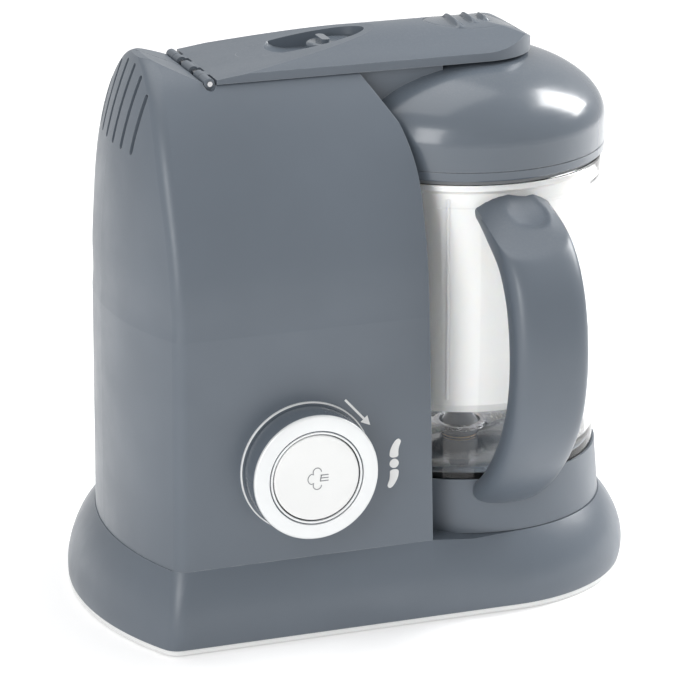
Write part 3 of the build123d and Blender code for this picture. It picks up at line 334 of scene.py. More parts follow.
def plastic(name, color, roughness, grain=0.03, grains=1500.0, wear=0.5, tone=0.06, coat=0.0,
            dust=0.05, subsurface=0.0):
    """Moulded plastic or rubber: grain, drifting tone, handling marks and paler worn edges."""
    material, tree, shader, place = new_material(name)
    where = place["Object"]
    surface = use_group(tree, "moulded_grain", {"Coordinates": where, "Grains per Metre": grains})
    worn = use_group(tree, "edge_wear", {"Coordinates": where, "Amount": wear})["Mask"]
    film = use_group(tree, "gathered_dust", {
        "Coordinates": where, "Facing": place["Normal"], "Amount": dust,
    })["Mask"]
    darker = (*[channel * (1 - tone) for channel in color], 1)
    lighter = (*[min(channel * (1 + tone), 1) for channel in color], 1)
    rubbed = (*[channel + (RUBBED_TONE - channel) * RUBBED_SHARE for channel in color], 1)
    shade = tree.mix_color(tree.remap(surface["Tone"], 0.35, 0.65), darker, lighter)
    shade = tree.mix_color(worn, shade, rubbed)
    shade = tree.mix_color(film, shade, DUST_COLOR)
    tree.feed(shader.inputs["Base Color"], shade)
    handled = tree.remap(surface["Handling"], 0.0, 1.0, roughness + 0.03, max(roughness - 0.05, 0.05))
    tree.feed(shader.inputs["Roughness"], tree.math("SUBTRACT", handled, tree.math("MULTIPLY", worn, 0.1)))
    bump = tree.node("ShaderNodeBump", {
        "Strength": 0.6, "Distance": grain * MM, "Height": surface["Height"],
    })
    tree.feed(shader.inputs["Normal"], bump.outputs["Normal"])
    shader.inputs["IOR"].default_value = 1.49
    if coat:
        shader.inputs["Coat Weight"].default_value = coat
        shader.inputs["Coat Roughness"].default_value = 0.12
    if subsurface:
        shader.inputs["Subsurface Weight"].default_value = subsurface
        shader.inputs["Subsurface Radius"].default_value = (1.0, 0.85, 0.7)
        shader.inputs["Subsurface Scale"].default_value = 2.0 * MM
    return material


def metal(name, color, roughness, metallic=1.0, lines=2500.0, scratch=0.01, wear=0.4):
    """Ground, plated or cast metal with streaks, tarnish and brighter edges."""
    material, tree, shader, place = new_material(name)
    where = place["Object"]
    streaks = use_group(tree, "brushed_metal", {"Coordinates": where, "Lines per Metre": lines})
    surface = use_group(tree, "moulded_grain", {"Coordinates": where, "Flow per Metre": 30.0})
    worn = use_group(tree, "edge_wear", {"Coordinates": where, "Amount": wear})["Mask"]
    dull = (*[channel * 0.86 for channel in color], 1)
    bright = (*[min(channel * 1.15, 1) for channel in color], 1)
    shade = tree.mix_color(surface["Tone"], dull, (*color, 1))
    tree.feed(shader.inputs["Base Color"], tree.mix_color(worn, shade, bright))
    tree.feed(shader.inputs["Roughness"],
              tree.remap(streaks["Streak"], 0.0, 1.0, roughness - 0.05, roughness + 0.07))
    bump = tree.node("ShaderNodeBump", {
        "Strength": 0.5, "Distance": scratch * MM, "Height": streaks["Height"],
    })
    tree.feed(shader.inputs["Normal"], bump.outputs["Normal"])
    shader.inputs["Metallic"].default_value = metallic
    return material


def clear_plastic(name, color):
    """Clear moulded jar plastic, with faint flow marks; it lets light through to what it holds."""
    material, tree, shader, place = new_material(name)
    where = place["Object"]
    surface = use_group(tree, "moulded_grain", {"Coordinates": where, "Grains per Metre": 400.0})
    shader.inputs["Base Color"].default_value = (*color, 1)
    shader.inputs["Transmission Weight"].default_value = 1.0
    shader.inputs["IOR"].default_value = 1.4
    tree.feed(shader.inputs["Roughness"], tree.remap(surface["Handling"], 0.0, 1.0, 0.01, 0.05))
    flow = tree.node("ShaderNodeBump", {
        "Strength": 0.2, "Distance": 0.05 * MM, "Height": surface["Tone"],
    })
    tree.feed(shader.inputs["Normal"], flow.outputs["Normal"])
    lit = tree.node("ShaderNodeLightPath")
    passed = tree.math("MULTIPLY", lit.outputs["Is Shadow Ray"], CLEAR_SHADOW_PASS)
    tree.feed(shader.inputs["Alpha"], tree.math("SUBTRACT", 1.0, passed))
    return material


MATERIALS = {}


def make_materials():
    GROUPS["moulded_grain"] = moulded_grain_group()
    GROUPS["edge_wear"] = edge_wear_group()
    GROUPS["brushed_metal"] = brushed_group()
    GROUPS["gathered_dust"] = gathered_dust_group()
    slate = (0.098, 0.117, 0.141)
    MATERIALS.update({
        "slate_shell": plastic("slate_shell", slate, 0.36),
        "slate_gloss": plastic("slate_gloss", slate, 0.24, grain=0.008, wear=0.4, coat=0.3),
        "white_plastic": plastic("white_plastic", (0.7, 0.705, 0.7), 0.38, grain=0.015, wear=0.2,
                                 tone=0.02),
        "cream_basket": plastic("cream_basket", (0.97, 0.955, 0.92), 0.4, grain=0.02, tone=0.015,
                                subsurface=0.5),
        "dark_plastic": plastic("dark_plastic", (0.045, 0.05, 0.056), 0.42),
        "black_rubber": plastic("black_rubber", (0.028, 0.028, 0.03), 0.75, grain=0.08, grains=900.0,
                                dust=0.1),
        "grey_rubber": plastic("grey_rubber", (0.17, 0.18, 0.19), 0.65, grain=0.05, grains=900.0),
        "board_green": plastic("board_green", (0.02, 0.16, 0.07), 0.3, coat=0.4, tone=0.15),
        "clear_jar": clear_plastic("clear_jar", (0.955, 0.96, 0.965)),
        "silver_ring": metal("silver_ring", (0.74, 0.755, 0.76), 0.36, metallic=0.35, scratch=0.004,
                             wear=0.2),
        "steel": metal("steel", (0.62, 0.62, 0.63), 0.24),
        "zinc": metal("zinc", (0.52, 0.53, 0.55), 0.38, lines=900.0),
        "aluminium": metal("aluminium", (0.7, 0.7, 0.71), 0.45, lines=600.0, scratch=0.05),
        "bronze": metal("bronze", (0.55, 0.38, 0.2), 0.42, lines=700.0, scratch=0.03),
    })


# ---------------------------------------------------------------- making meshes


def finish_mesh(name, bm, crease=35):
    """Merges doubled points, turns faces outward and smooths what is flatter than the crease angle."""
    bmesh.ops.remove_doubles(bm, verts=bm.verts, dist=1e-7)
    bmesh.ops.recalc_face_normals(bm, faces=bm.faces)
    mesh = bpy.data.meshes.new(name)
    bm.to_mesh(mesh)
    bm.free()
    for face in mesh.polygons:
        face.use_smooth = True
    mesh.set_sharp_from_angle(angle=radians(crease))
    piece = bpy.data.objects.new(name, mesh)
    bpy.context.scene.collection.objects.link(piece)
    return piece


def fit_piece(piece, body, slot, *replaced):
    """Gives a piece its finish and its body, and hides the CAD nodes that it stands for."""
    piece.data.materials.clear()
    piece.data.materials.append(MATERIALS[slot])
    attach(piece, body)
    if replaced:
        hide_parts(*replaced)


def rounded(corners, steps=5):
    """Rounds the corners of a closed outline given as (across, along, rounding)."""
    points = []
    for index, (across, along, rounding) in enumerate(corners):
        here = Vector((across, along))
        if not rounding:
            points.append(here)
            continue
        before = (Vector(corners[index - 1][:2]) - here).normalized()
        after = (Vector(corners[(index + 1) % len(corners)][:2]) - here).normalized()
        half = before.angle(after) / 2
        centre = here + (before + after).normalized() * (rounding / sin(half))
        start = here + before * (rounding / tan(half)) - centre
        end = here + after * (rounding / tan(half)) - centre
        for step in range(steps + 1):
            points.append(centre + start.lerp(end, step / steps).normalized() * rounding)
    return points


def around_jar(radius, height, angle):
    """A point around the jar's axis, in metres."""
    return Vector((radius * cos(angle), radius * sin(angle), height)) * MM


def around_knob(radius, depth, angle):
    """A point around the knob's axis, in metres."""
    return Vector((KNOB_X + radius * cos(angle), depth, KNOB_Z + radius * sin(angle))) * MM


def turned(name, outline, placed=around_jar, steps=160):
    """A closed form turned from a closed outline of (radius, place along the axis)."""
    bm = bmesh.new()
    rings = []
    for radius, along in outline:
        if radius < 1e-6:
            rings.append([bm.verts.new(placed(0, along, 0))] * steps)
        else:
            rings.append([bm.verts.new(placed(radius, along, TURN * step / steps))
                          for step in range(steps)])
    for ring, following in zip(rings, rings[1:] + rings[:1]):
        for step in range(steps):
            after = (step + 1) % steps
            corners = []
            for vertex in (ring[step], ring[after], following[after], following[step]):
                if vertex not in corners:
                    corners.append(vertex)
            if len(corners) > 2:
                bm.faces.new(corners)
    return finish_mesh(name, bm)


def softened(points, rounds=2):
    """Cuts the corners of a closed outline until it is smooth."""
    for _ in range(rounds):
        cut = []
        for here, after in zip(points, points[1:] + points[:1]):
            cut.append((here[0] * 0.75 + after[0] * 0.25, here[1] * 0.75 + after[1] * 0.25))
            cut.append((here[0] * 0.25 + after[0] * 0.75, here[1] * 0.25 + after[1] * 0.75))
        points = cut
    return points


def add_plate(bm, outline, back, front):
    """Adds a flat plate facing the front, from its (x, z) outline and two depths."""
    rear = [bm.verts.new(Vector((x, back, z)) * MM) for x, z in outline]
    face = [bm.verts.new(Vector((x, front, z)) * MM) for x, z in outline]
    bm.faces.new(rear)
    bm.faces.new(face)
    for index in range(len(outline)):
        after = (index + 1) % len(outline)
        bm.faces.new((rear[index], rear[after], face[after], face[index]))


def add_stroke(bm, line, width, back, front):
    """Adds a line of even width as a thin raised plate, from its (x, z) points."""
    left = []
    right = []
    for index, point in enumerate(line):
        here = Vector(point)
        before = Vector(line[max(index - 1, 0)])
        after = Vector(line[min(index + 1, len(line) - 1)])
        along = (after - before).normalized()
        aside = Vector((-along.y, along.x)) * (width / 2)
        left.append(tuple(here + aside))
        right.append(tuple(here - aside))
    add_plate(bm, left + right[::-1], back, front)


def arc_points(centre, radius, start, end, steps=10):
    """Points (x, z) on an arc, with its angles in degrees."""
    points = []
    for step in range(steps + 1):
        angle = radians(start + (end - start) * step / steps)
        points.append((centre[0] + radius * cos(angle), centre[1] + radius * sin(angle)))
    return points


# ---------------------------------------------------------------- repeated shapes


def repeat_tree(name):
    """Geometry tree that sets a round or flattened bar on every point, facing out from the axis."""
    group, tree, source, out = new_group("GeometryNodeTree", name, [
        ("Geometry", "NodeSocketGeometry", None),
        ("Bar Radius", "NodeSocketFloat", 0.001),
        ("Bar Length", "NodeSocketFloat", 0.1),
        ("Flatness", "NodeSocketFloat", 1.0),
        ("Turn", "NodeSocketVector", None),
        ("Sides", "NodeSocketInt", 16),
        ("Finish", "NodeSocketMaterial", None),
    ], [("Geometry", "NodeSocketGeometry")])
    bar = tree.node("GeometryNodeMeshCylinder", {
        "Vertices": source.outputs["Sides"],
        "Radius": source.outputs["Bar Radius"],
        "Depth": source.outputs["Bar Length"],
    })
    size = tree.node("ShaderNodeCombineXYZ", {"X": source.outputs["Flatness"], "Y": 1.0, "Z": 1.0})
    place = tree.node("GeometryNodeInputPosition")
    spread = tree.node("ShaderNodeVectorMath", {
        0: place.outputs[0], 1: (1.0, 1.0, 0.0),
    }, operation="MULTIPLY")
    outward = tree.node("FunctionNodeAlignRotationToVector", {
        "Vector": spread.outputs[0],
    }, axis="X", pivot_axis="Z")
    turn = tree.node("FunctionNodeEulerToRotation", {0: source.outputs["Turn"]})
    both = tree.node("FunctionNodeRotateRotation", {
        "Rotation": outward.outputs[0], "Rotate By": turn.outputs[0],
    }, rotation_space="LOCAL")
    placed = tree.node("GeometryNodeInstanceOnPoints", {
        "Points": source.outputs["Geometry"],
        "Instance": bar.outputs["Mesh"],
        "Rotation": both.outputs[0],
        "Scale": size.outputs[0],
    })
    real = tree.node("GeometryNodeRealizeInstances", {"Geometry": placed.outputs[0]})
    finished = tree.node("GeometryNodeSetMaterial", {
        "Geometry": real.outputs[0], "Material": source.outputs["Finish"],
    })
    tree.feed(out.inputs["Geometry"], finished.outputs[0])
    return group


def screw_tree(name):
    """Geometry tree that sets a domed screw head with a cross cut in it on every point."""
    group, tree, source, out = new_group("GeometryNodeTree", name, [
        ("Geometry", "NodeSocketGeometry", None),
        ("Head Radius", "NodeSocketFloat", 0.003),
        ("Head Height", "NodeSocketFloat", 0.001),
        ("Cross Width", "NodeSocketFloat", 0.0008),
        ("Finish", "NodeSocketMaterial", None),
    ], [("Geometry", "NodeSocketGeometry")])
    radius = source.outputs["Head Radius"]
    height = source.outputs["Head Height"]
    head = tree.node("GeometryNodeMeshCone", {
        "Vertices": 32,
        "Radius Top": radius,
        "Radius Bottom": tree.math("MULTIPLY", radius, 0.86),
        "Depth": height,
    })
    long_side = tree.math("MULTIPLY", radius, 1.1)
    cross = source.outputs["Cross Width"]
    first_size = tree.node("ShaderNodeCombineXYZ", {"X": long_side, "Y": cross, "Z": height})
    second_size = tree.node("ShaderNodeCombineXYZ", {"X": cross, "Y": long_side, "Z": height})
    arms = tree.node("GeometryNodeJoinGeometry")
    for size in (first_size, second_size):
        box = tree.node("GeometryNodeMeshCube", {"Size": size.outputs[0]})
        tree.feed(arms.inputs[0], box.outputs["Mesh"])
    low = tree.node("ShaderNodeCombineXYZ", {
        "X": 0.0, "Y": 0.0, "Z": tree.math("MULTIPLY", height, -0.35),
    })
    lowered = tree.node("GeometryNodeTransform", {
        "Geometry": arms.outputs[0], "Translation": low.outputs[0],
    })
    cut = tree.node("GeometryNodeMeshBoolean", operation="DIFFERENCE")
    tree.feed(cut.inputs["Mesh 1"], head.outputs["Mesh"])
    tree.feed(cut.inputs["Mesh 2"], lowered.outputs[0])
    placed = tree.node("GeometryNodeInstanceOnPoints", {
        "Points": source.outputs["Geometry"], "Instance": cut.outputs[0],
    })
    real = tree.node("GeometryNodeRealizeInstances", {"Geometry": placed.outputs[0]})
    finished = tree.node("GeometryNodeSetMaterial", {
        "Geometry": real.outputs[0], "Material": source.outputs["Finish"],
    })
    tree.feed(out.inputs["Geometry"], finished.outputs[0])
    return group


def repeated(name, group, points, inputs):
    """A plain mesh piece of what the tree makes on the given points, in millimetres."""
    mesh = bpy.data.meshes.new(name + "_points")
    mesh.from_pydata([Vector(point) * MM for point in points], [], [])
    holder = bpy.data.objects.new(name + "_points", mesh)
    bpy.context.scene.collection.objects.link(holder)
    modifier = holder.modifiers.new("repeat", "NODES")
    modifier.node_group = group
    sockets = {
        item.name: item.identifier for item in group.interface.items_tree if item.in_out == "INPUT"
    }
    for label, value in inputs.items():
        modifier[sockets[label]] = value
    depsgraph = bpy.context.evaluated_depsgraph_get()
    result = bpy.data.meshes.new_from_object(holder.evaluated_get(depsgraph))
    bpy.data.objects.remove(holder)
    bm = bmesh.new()
    bm.from_mesh(result)
    bpy.data.meshes.remove(result)
    return finish_mesh(name, bm)


# ---------------------------------------------------------------- handle of the jar


def spline_values(rows, place):
    """The value at a place from 0 to 1 on a smooth line through rows of numbers."""
    spans = len(rows) - 1
    index = min(int(place * spans), spans - 1)
    share = place * spans - index
    before, start, end, after = (rows[min(max(index + step, 0), spans)] for step in (-1, 0, 1, 2))
    values = []
    for p0, p1, p2, p3 in zip(before, start, end, after):
        bend = (2 * p0 - 5 * p1 + 4 * p2 - p3) * share ** 2
        values.append(0.5 * (2 * p1 + (p2 - p0) * share + bend + (3 * p1 - p0 - 3 * p2 + p3) * share ** 3))
    return values


def thumb_height(x, depth):
    """Height of the thumb face: it falls away from the jar, crowned, with an oval dimple."""
    out = THUMB_FACE[0] - depth
    tilt = THUMB_TILT * max(x, 0) * min(max(out, 0) / THUMB_TILT_REACH, 1)
    crown = THUMB_CROWN * (1 - (x / HANDLE_HALF_WIDTH) ** 2) * max(0.0, 1 - out / THUMB_REACH)
    aside = (x - DIMPLE_MIDDLE[0]) / DIMPLE_HALF[0]
    onward = (depth - DIMPLE_MIDDLE[1]) / DIMPLE_HALF[1]
    hollow = DIMPLE_DEPTH * max(0.0, 1 - (aside ** 2 + onward ** 2)) ** 0.6
    return THUMB_FACE[1] - THUMB_FALL * out + crown + tilt - hollow


def soft_least(first, second, blend=0.9):
    """The smaller of two values, blended where they are nearly the same."""
    share = max(0.0, blend - abs(first - second)) / blend
    return min(first, second) - share * share * blend * 0.25


def handle_point(place, angle):
    """A point on the handle's skin, in millimetres."""
    depth, height, thickness, square = spline_values(HANDLE_LINE, place)
    step = 0.002
    ahead = spline_values(HANDLE_LINE, min(place + step, 1))
    behind = spline_values(HANDLE_LINE, max(place - step, 0))
    along = Vector((ahead[0] - behind[0], ahead[1] - behind[1])).normalized()
    across = Vector((-along.y, along.x))
    power = 2 / square
    side = HANDLE_HALF_WIDTH * abs(cos(angle)) ** power * (1 if cos(angle) > 0 else -1)
    rise = thickness / 2 * abs(sin(angle)) ** power * (1 if sin(angle) > 0 else -1)
    point = Vector((side, depth + across.x * rise, height + across.y * rise))
    if point.z > THUMB_LOWEST:
        point.z = soft_least(point.z, thumb_height(point.x, point.y))
    return point


def root_radius(height):
    """Radius of the jar's or collar's outer surface at a height, with a hair's gap."""
    if height < COLLAR_TOP[0]:
        share = (height - COLLAR_BOTTOM[0]) / (COLLAR_TOP[0] - COLLAR_BOTTOM[0])
        return COLLAR_BOTTOM[1] + (COLLAR_TOP[1] - COLLAR_BOTTOM[1]) * share + ROOT_GAP
    if height < JAR_RIM_BOTTOM:
        return JAR_RADIUS + ROOT_GAP
    return JAR_RADIUS + JAR_RIM_FLARE + ROOT_GAP


def make_handle():
    """Closed grip, swept down from the jar's rim to its collar."""
    rows = 110
    sides = 72
    samples = 400
    bm = bmesh.new()
    grid = []
    for side in range(sides):
        angle = TURN * (side + 0.5) / sides
        outside = []
        for sample in range(samples + 1):
            point = handle_point(sample / samples, angle)
            if hypot(point.x, point.y) > root_radius(point.z):
                outside.append(sample / samples)
        column = []
        for row in range(rows + 1):
            place = outside[0] + (outside[-1] - outside[0]) * row / rows
            column.append(bm.verts.new(handle_point(place, angle) * MM))
        grid.append(column)
    for side in range(sides):
        after = (side + 1) % sides
        for row in range(rows):
            bm.faces.new((grid[side][row], grid[after][row],
                          grid[after][row + 1], grid[side][row + 1]))
    for row in (0, rows):
        loop = [column[row] for column in grid]
        middle = sum((vertex.co for vertex in loop), Vector()) / sides
        flat = hypot(middle.x, middle.y)
        reach = root_radius(middle.z / MM) * MM
        centre = bm.verts.new((middle.x * reach / flat, middle.y * reach / flat, middle.z))
        for side in range(sides):
            bm.faces.new((loop[side], loop[(side + 1) % sides], centre))
    handle = finish_mesh("grip_handle", bm, crease=50)
    fit_piece(handle, "jar", "slate_shell", "jar_handle")


# ---------------------------------------------------------------- jar, basket and blade


def make_jar():
    """Clear jar with its rim, and a dark plate right below its floor."""
    outline = rounded([
        (JAR_FLOOR_HOLE, JAR_FLOOR, 0.4),
        (JAR_RADIUS, JAR_FLOOR, 2.2),
        (JAR_RADIUS, JAR_RIM_BOTTOM, 1.2),
        (JAR_RADIUS + JAR_RIM_FLARE, JAR_RIM_BOTTOM + 1.4, 0.6),
        (JAR_RADIUS + JAR_RIM_FLARE, JAR_TOP, 1.0),
        (JAR_INSIDE, JAR_TOP, 0.8),
        (JAR_INSIDE, JAR_FLOOR + JAR_FLOOR_THICKNESS, 9),
        (JAR_FLOOR_HOLE, JAR_FLOOR + JAR_FLOOR_THICKNESS, 0.4),
    ], steps=8)
    fit_piece(turned("jar_glass", outline), "jar", "clear_jar", "jar")
    bottom, top = BACKING_LEVELS
    inside, outside = BACKING_RADII
    backing = turned("floor_backing", rounded([
        (inside, bottom, 0), (inside, top, 0), (outside, top, 0.05), (outside, bottom, 0),
    ]))
    fit_piece(backing, "jar", "slate_gloss")


def make_basket_seams():
    """Four slim standing ribs moulded on the outside of the steam basket."""
    points = []
    for index in range(4):
        angle = radians(FIRST_RIB_ANGLE + 90 * index)
        points.append((RIB_RADIUS * cos(angle), RIB_RADIUS * sin(angle), RIB_MIDDLE))
    seams = repeated("basket_seams", repeat_tree("standing_ribs"), points, {
        "Bar Radius": RIB_HALF_THICKNESS * MM,
        "Bar Length": RIB_LENGTH * MM,
        "Flatness": 0.8,
        "Turn": (0.0, atan2(*BASKET_TAPER), 0.0),
        "Sides": 14,
        "Finish": MATERIALS["cream_basket"],
    })
    fit_piece(seams, "jar", "cream_basket")


def wing_edges(share):
    """Places across the wing of its trailing and its leading edge, at a share of its length."""
    trail = -9 + 6.5 * sin(pi * share / 2) - 1.6 * share ** 3
    lead = 11 + 5 * sin(pi * share * 0.75) - 17.6 * share ** 2.2
    return trail, lead


def make_blade():
    """Two swept wings with a ground leading edge, their tips turned up, on one ring."""
    bm = bmesh.new()
    along_steps = 28
    across_steps = 8
    for turn in (0, pi):
        layers = []
        for layer in (-1, 1):
            rows = []
            for i in range(along_steps + 1):
                share = i / along_steps
                x = BLADE_ROOT + BLADE_LENGTH * share
                trail, lead = wing_edges(share)
                rise = BLADE_TIP_RISE * share ** 2
                row = []
                for j in range(across_steps + 1):
                    width = j / across_steps
                    y = trail + (lead - trail) * width
                    ground = min(1.0, GROUND_EDGE[0] + (1 - width) * GROUND_EDGE[1])
                    z = BLADE_LEVEL + rise + BLADE_CAMBER * sin(pi * width)
                    z += layer * BLADE_HALF_THICKNESS * ground
                    spun = (x * cos(turn) - y * sin(turn), x * sin(turn) + y * cos(turn), z)
                    row.append(bm.verts.new(Vector(spun) * MM))
                rows.append(row)
            layers.append(rows)
        low, high = layers
        for i in range(along_steps):
            for j in range(across_steps):
                for rows in layers:
                    bm.faces.new((rows[i][j], rows[i + 1][j],
                                  rows[i + 1][j + 1], rows[i][j + 1]))
            for j in (0, across_steps):
                bm.faces.new((low[i][j], low[i + 1][j], high[i + 1][j], high[i][j]))
        for i in (0, along_steps):
            for j in range(across_steps):
                bm.faces.new((low[i][j], low[i][j + 1], high[i][j + 1], high[i][j]))
    fit_piece(finish_mesh("blade_wings", bm), "blade_drive", "steel", "blade")
    ring = turned("blade_ring", rounded([
        (10.2, 67.8, 0.3), (13, 67.8, 0.5), (13, 70.4, 0.8), (9.9, 70.4, 0.3),
    ]), steps=72)
    fit_piece(ring, "blade_drive", "steel")
    hub = turned("blade_cap", rounded([
        (3, 64, 0), (9.6, 64, 0.8), (9.2, 70, 2), (5.2, 74.5, 2), (4.4, 88.1, 1.2), (3, 88.1, 0),
    ]), steps=96)
    fit_piece(hub, "blade_drive", "slate_gloss", "blade_hub")


# ---------------------------------------------------------------- knob, button and signs


def make_knob():
    """The knob's face, the dish and bright line around it, and the push button in its middle."""
    face = turned("face_ring", rounded([
        (21.0, -86.6, 0),
        (21.0, KNOB_FACE + 0.15, 0.2),
        (21.95, KNOB_FACE + 0.1, 0.2),
        (22.0, KNOB_FACE + 1.3, 0),
        (22.55, KNOB_FACE + 1.3, 0),
        (22.6, KNOB_FACE, 0.25),
        (29.75, KNOB_FACE + 0.15, 1.0),
        (29.75, -86.2, 0),
        (29.0, -86.0, 0),
    ]), around_knob)
    fit_piece(face, "knob", "silver_ring", "knob_face")
    dish = turned("bezel_dish", rounded([
        (12, FRONT_FACE, 0),
        (12, FRONT_FACE - 1.0, 0),
        (30.9, FRONT_FACE - 1.0, 0.3),
        (30.9, FRONT_FACE, 0),
    ]), around_knob)
    fit_piece(dish, "housing", "slate_gloss", "knob_bezel")
    line = turned("bezel_line", rounded([
        (30.8, FRONT_FACE + 0.1, 0),
        (30.8, FRONT_FACE - 1.2, 0.15),
        (31.4, FRONT_FACE - 1.0, 0.3),
        (31.5, FRONT_FACE + 0.1, 0),
    ]), around_knob)
    fit_piece(line, "housing", "silver_ring")
    key = turned("steam_key_cap", rounded([
        (0, BUTTON_FACE + 0.45, 0),
        (13, BUTTON_FACE + 0.25, 20),
        (BUTTON_RADIUS, BUTTON_FACE, 0.7),
        (BUTTON_RADIUS, -84.4, 0),
        (2.5, -84.4, 0),
        (2.5, -77.2, 0.5),
        (0, -77.2, 0),
    ]), around_knob)
    fit_piece(key, "steam_key", "white_plastic", "steam_button")


def make_signs():
    """Generic printed signs: a steam cloud on the button, and an arrow and a blade beside the knob."""
    bm = bmesh.new()
    back = BUTTON_FACE + 0.6
    front = BUTTON_FACE + 0.28
    x = KNOB_X - 0.9
    z = KNOB_Z - 0.5
    cloud = arc_points((x + 1.2, z - 3.2), 2.0, 0, -215)
    cloud += arc_points((x - 0.7, z), 2.6, 250, 110)
    cloud += arc_points((x + 1.2, z + 3.2), 2.0, 215, 0)
    add_stroke(bm, cloud, SIGN_LINE, back, front)
    add_stroke(bm, [(x + 2.6, z - 1.5), (x + 3.2, z + 1.6)], SIGN_LINE, back, front)
    for rise in (-1.3, 0.1, 1.5):
        add_stroke(bm, [(x + 2.8, z + rise), (x + 6.6, z + rise)], SIGN_LINE, back, front)
    fit_piece(finish_mesh("steam_sign", bm), "steam_key", "grey_rubber")

    bm = bmesh.new()
    back = FRONT_FACE + 0.1
    front = FRONT_FACE - 0.12
    start = Vector(ARROW_START)
    tip = Vector(ARROW_TIP)
    along = (tip - start).normalized()
    aside = Vector((-along.y, along.x))
    head_length, head_width = ARROW_HEAD
    neck = tip - along * head_length
    add_stroke(bm, [tuple(start), tuple(neck)], ARROW_LINE, back, front)
    barbs = [tuple(neck + aside * head_width), tuple(neck - aside * head_width)]
    add_plate(bm, [tuple(tip), *barbs], back, front)
    petal = softened(BLADE_PETAL)
    for flip in (1, -1):
        outline = [(BLADE_SIGN[0] + flip * px, BLADE_SIGN[1] + flip * pz) for px, pz in petal]
        add_plate(bm, outline, back, front)
    add_plate(bm, arc_points(BLADE_SIGN, BLADE_SIGN_HUB, 0, 348, 28), back, front)
    fit_piece(finish_mesh("turn_and_blade_signs", bm), "housing", "white_plastic")


# ---------------------------------------------------------------- top of the arm


def arm_height(x, y):
    """Height of the arm's crowned top."""
    across = ARM_CROWN - ARM_CROWN_RADIUS + sqrt(ARM_CROWN_RADIUS ** 2 - y * y)
    if x <= 0:
        return across
    return min(across, ARM_CROWN - ARM_CROWN_RADIUS + sqrt(ARM_CROWN_RADIUS ** 2 - x * x))


def ridge_height(x, y):
    """Three wave-shaped grip ridges, shorter towards the nose."""
    height = 0.0
    for middle, front, back in GRIP_RIDGES:
        reach = (y - (front + back) / 2) / ((back - front) / 2)
        if abs(reach) >= 1:
            continue
        away = x - middle - RIDGE_BOW * reach * reach
        slope = away / (RIDGE_STEEP_SIDE if away < 0 else RIDGE_GENTLE_SIDE)
        if abs(slope) < 1:
            wave = 0.5 + 0.5 * cos(pi * slope)
            height = max(height, RIDGE_HEIGHT * wave * (1 - reach ** 4))
    return height


def make_release_pad():
    """Oval push pad, flush with the arm around it, with its ridges."""
    rings = 46
    sides = 160
    bm = bmesh.new()
    layers = []
    for ring in range(1, rings + 1):
        share = ring / rings
        row = []
        for side in range(sides):
            angle = TURN * side / sides
            x = RELEASE_MIDDLE + RELEASE_HALF_LENGTH * share * cos(angle)
            y = RELEASE_HALF_WIDTH * share * sin(angle)
            edge = PAD_EDGE_FALL * max(0.0, share - PAD_EDGE_START) / (1 - PAD_EDGE_START)
            height = arm_height(x, y) + ridge_height(x, y) - edge
            row.append(bm.verts.new(Vector((x, y, height)) * MM))
        layers.append(row)
    under = []
    for side in range(sides):
        angle = TURN * side / sides
        x = RELEASE_MIDDLE + RELEASE_HALF_LENGTH * cos(angle)
        y = RELEASE_HALF_WIDTH * sin(angle)
        under.append(bm.verts.new(Vector((x, y, RELEASE_UNDERSIDE)) * MM))
    layers.append(under)
    crown = arm_height(RELEASE_MIDDLE, 0) + ridge_height(RELEASE_MIDDLE, 0)
    top = bm.verts.new(Vector((RELEASE_MIDDLE, 0, crown)) * MM)
    bottom = bm.verts.new(Vector((RELEASE_MIDDLE, 0, RELEASE_UNDERSIDE)) * MM)
    for side in range(sides):
        after = (side + 1) % sides
        bm.faces.new((top, layers[0][side], layers[0][after]))
        bm.faces.new((bottom, under[after], under[side]))
        for row, following in zip(layers, layers[1:]):
            bm.faces.new((row[side], following[side], following[after], row[after]))
    fit_piece(finish_mesh("release_pad", bm, crease=50), "release", "slate_gloss", "release_button")


def scoop_height(x, y):
    """Height of the arm's slope near the hinge, and of the bowl that falls from it to the slider."""
    slope = ARM_SLOPE_START[1] + ARM_SLOPE * (x - ARM_SLOPE_START[0]) - SCOOP_DROP
    lip = SCOOP_LIP + SCOOP_LIP_BOW * (y / RECESS_HALF_WIDTH) ** 2
    share = min(max((x - lip) / SCOOP_LENGTH, 0), 1)
    floor = RECESS_FLOOR + SCOOP_COVER
    return floor + (slope - floor) * (1 - sqrt(1 - (1 - share) ** 2))


def make_recess_scoop():
    """Filled end of the slider's recess, with a rounded scoop for a fingertip."""
    columns = 64
    rows = 36
    bm = bmesh.new()
    middle = (RECESS_LEFT + RECESS_RIGHT) / 2
    half = (RECESS_RIGHT - RECESS_LEFT) / 2
    tops = []
    lows = []
    for i in range(columns + 1):
        x = RECESS_LEFT + SCOOP_START + SCOOP_REACH * i / columns
        reach = (RECESS_HALF_WIDTH - SCOOP_SIDE_GAP) * sqrt(max(0.0, 1 - ((x - middle) / half) ** 2))
        across = [reach * (2 * j / rows - 1) for j in range(rows + 1)]
        tops.append([bm.verts.new(Vector((x, y, scoop_height(x, y))) * MM) for y in across])
        lows.append([bm.verts.new(Vector((x, y, RECESS_FLOOR - SCOOP_DEPTH)) * MM) for y in across])
    for i in range(columns):
        for j in range(rows):
            bm.faces.new((tops[i][j], tops[i + 1][j], tops[i + 1][j + 1], tops[i][j + 1]))
            bm.faces.new((lows[i][j], lows[i][j + 1], lows[i + 1][j + 1], lows[i + 1][j]))
        for j in (0, rows):
            bm.faces.new((tops[i][j], tops[i + 1][j], lows[i + 1][j], lows[i][j]))
    for i in (0, columns):
        for j in range(rows):
            bm.faces.new((tops[i][j], tops[i][j + 1], lows[i][j + 1], lows[i][j]))
    fit_piece(finish_mesh("recess_scoop", bm, crease=50), "lid", "slate_shell")


# ---------------------------------------------------------------- underside


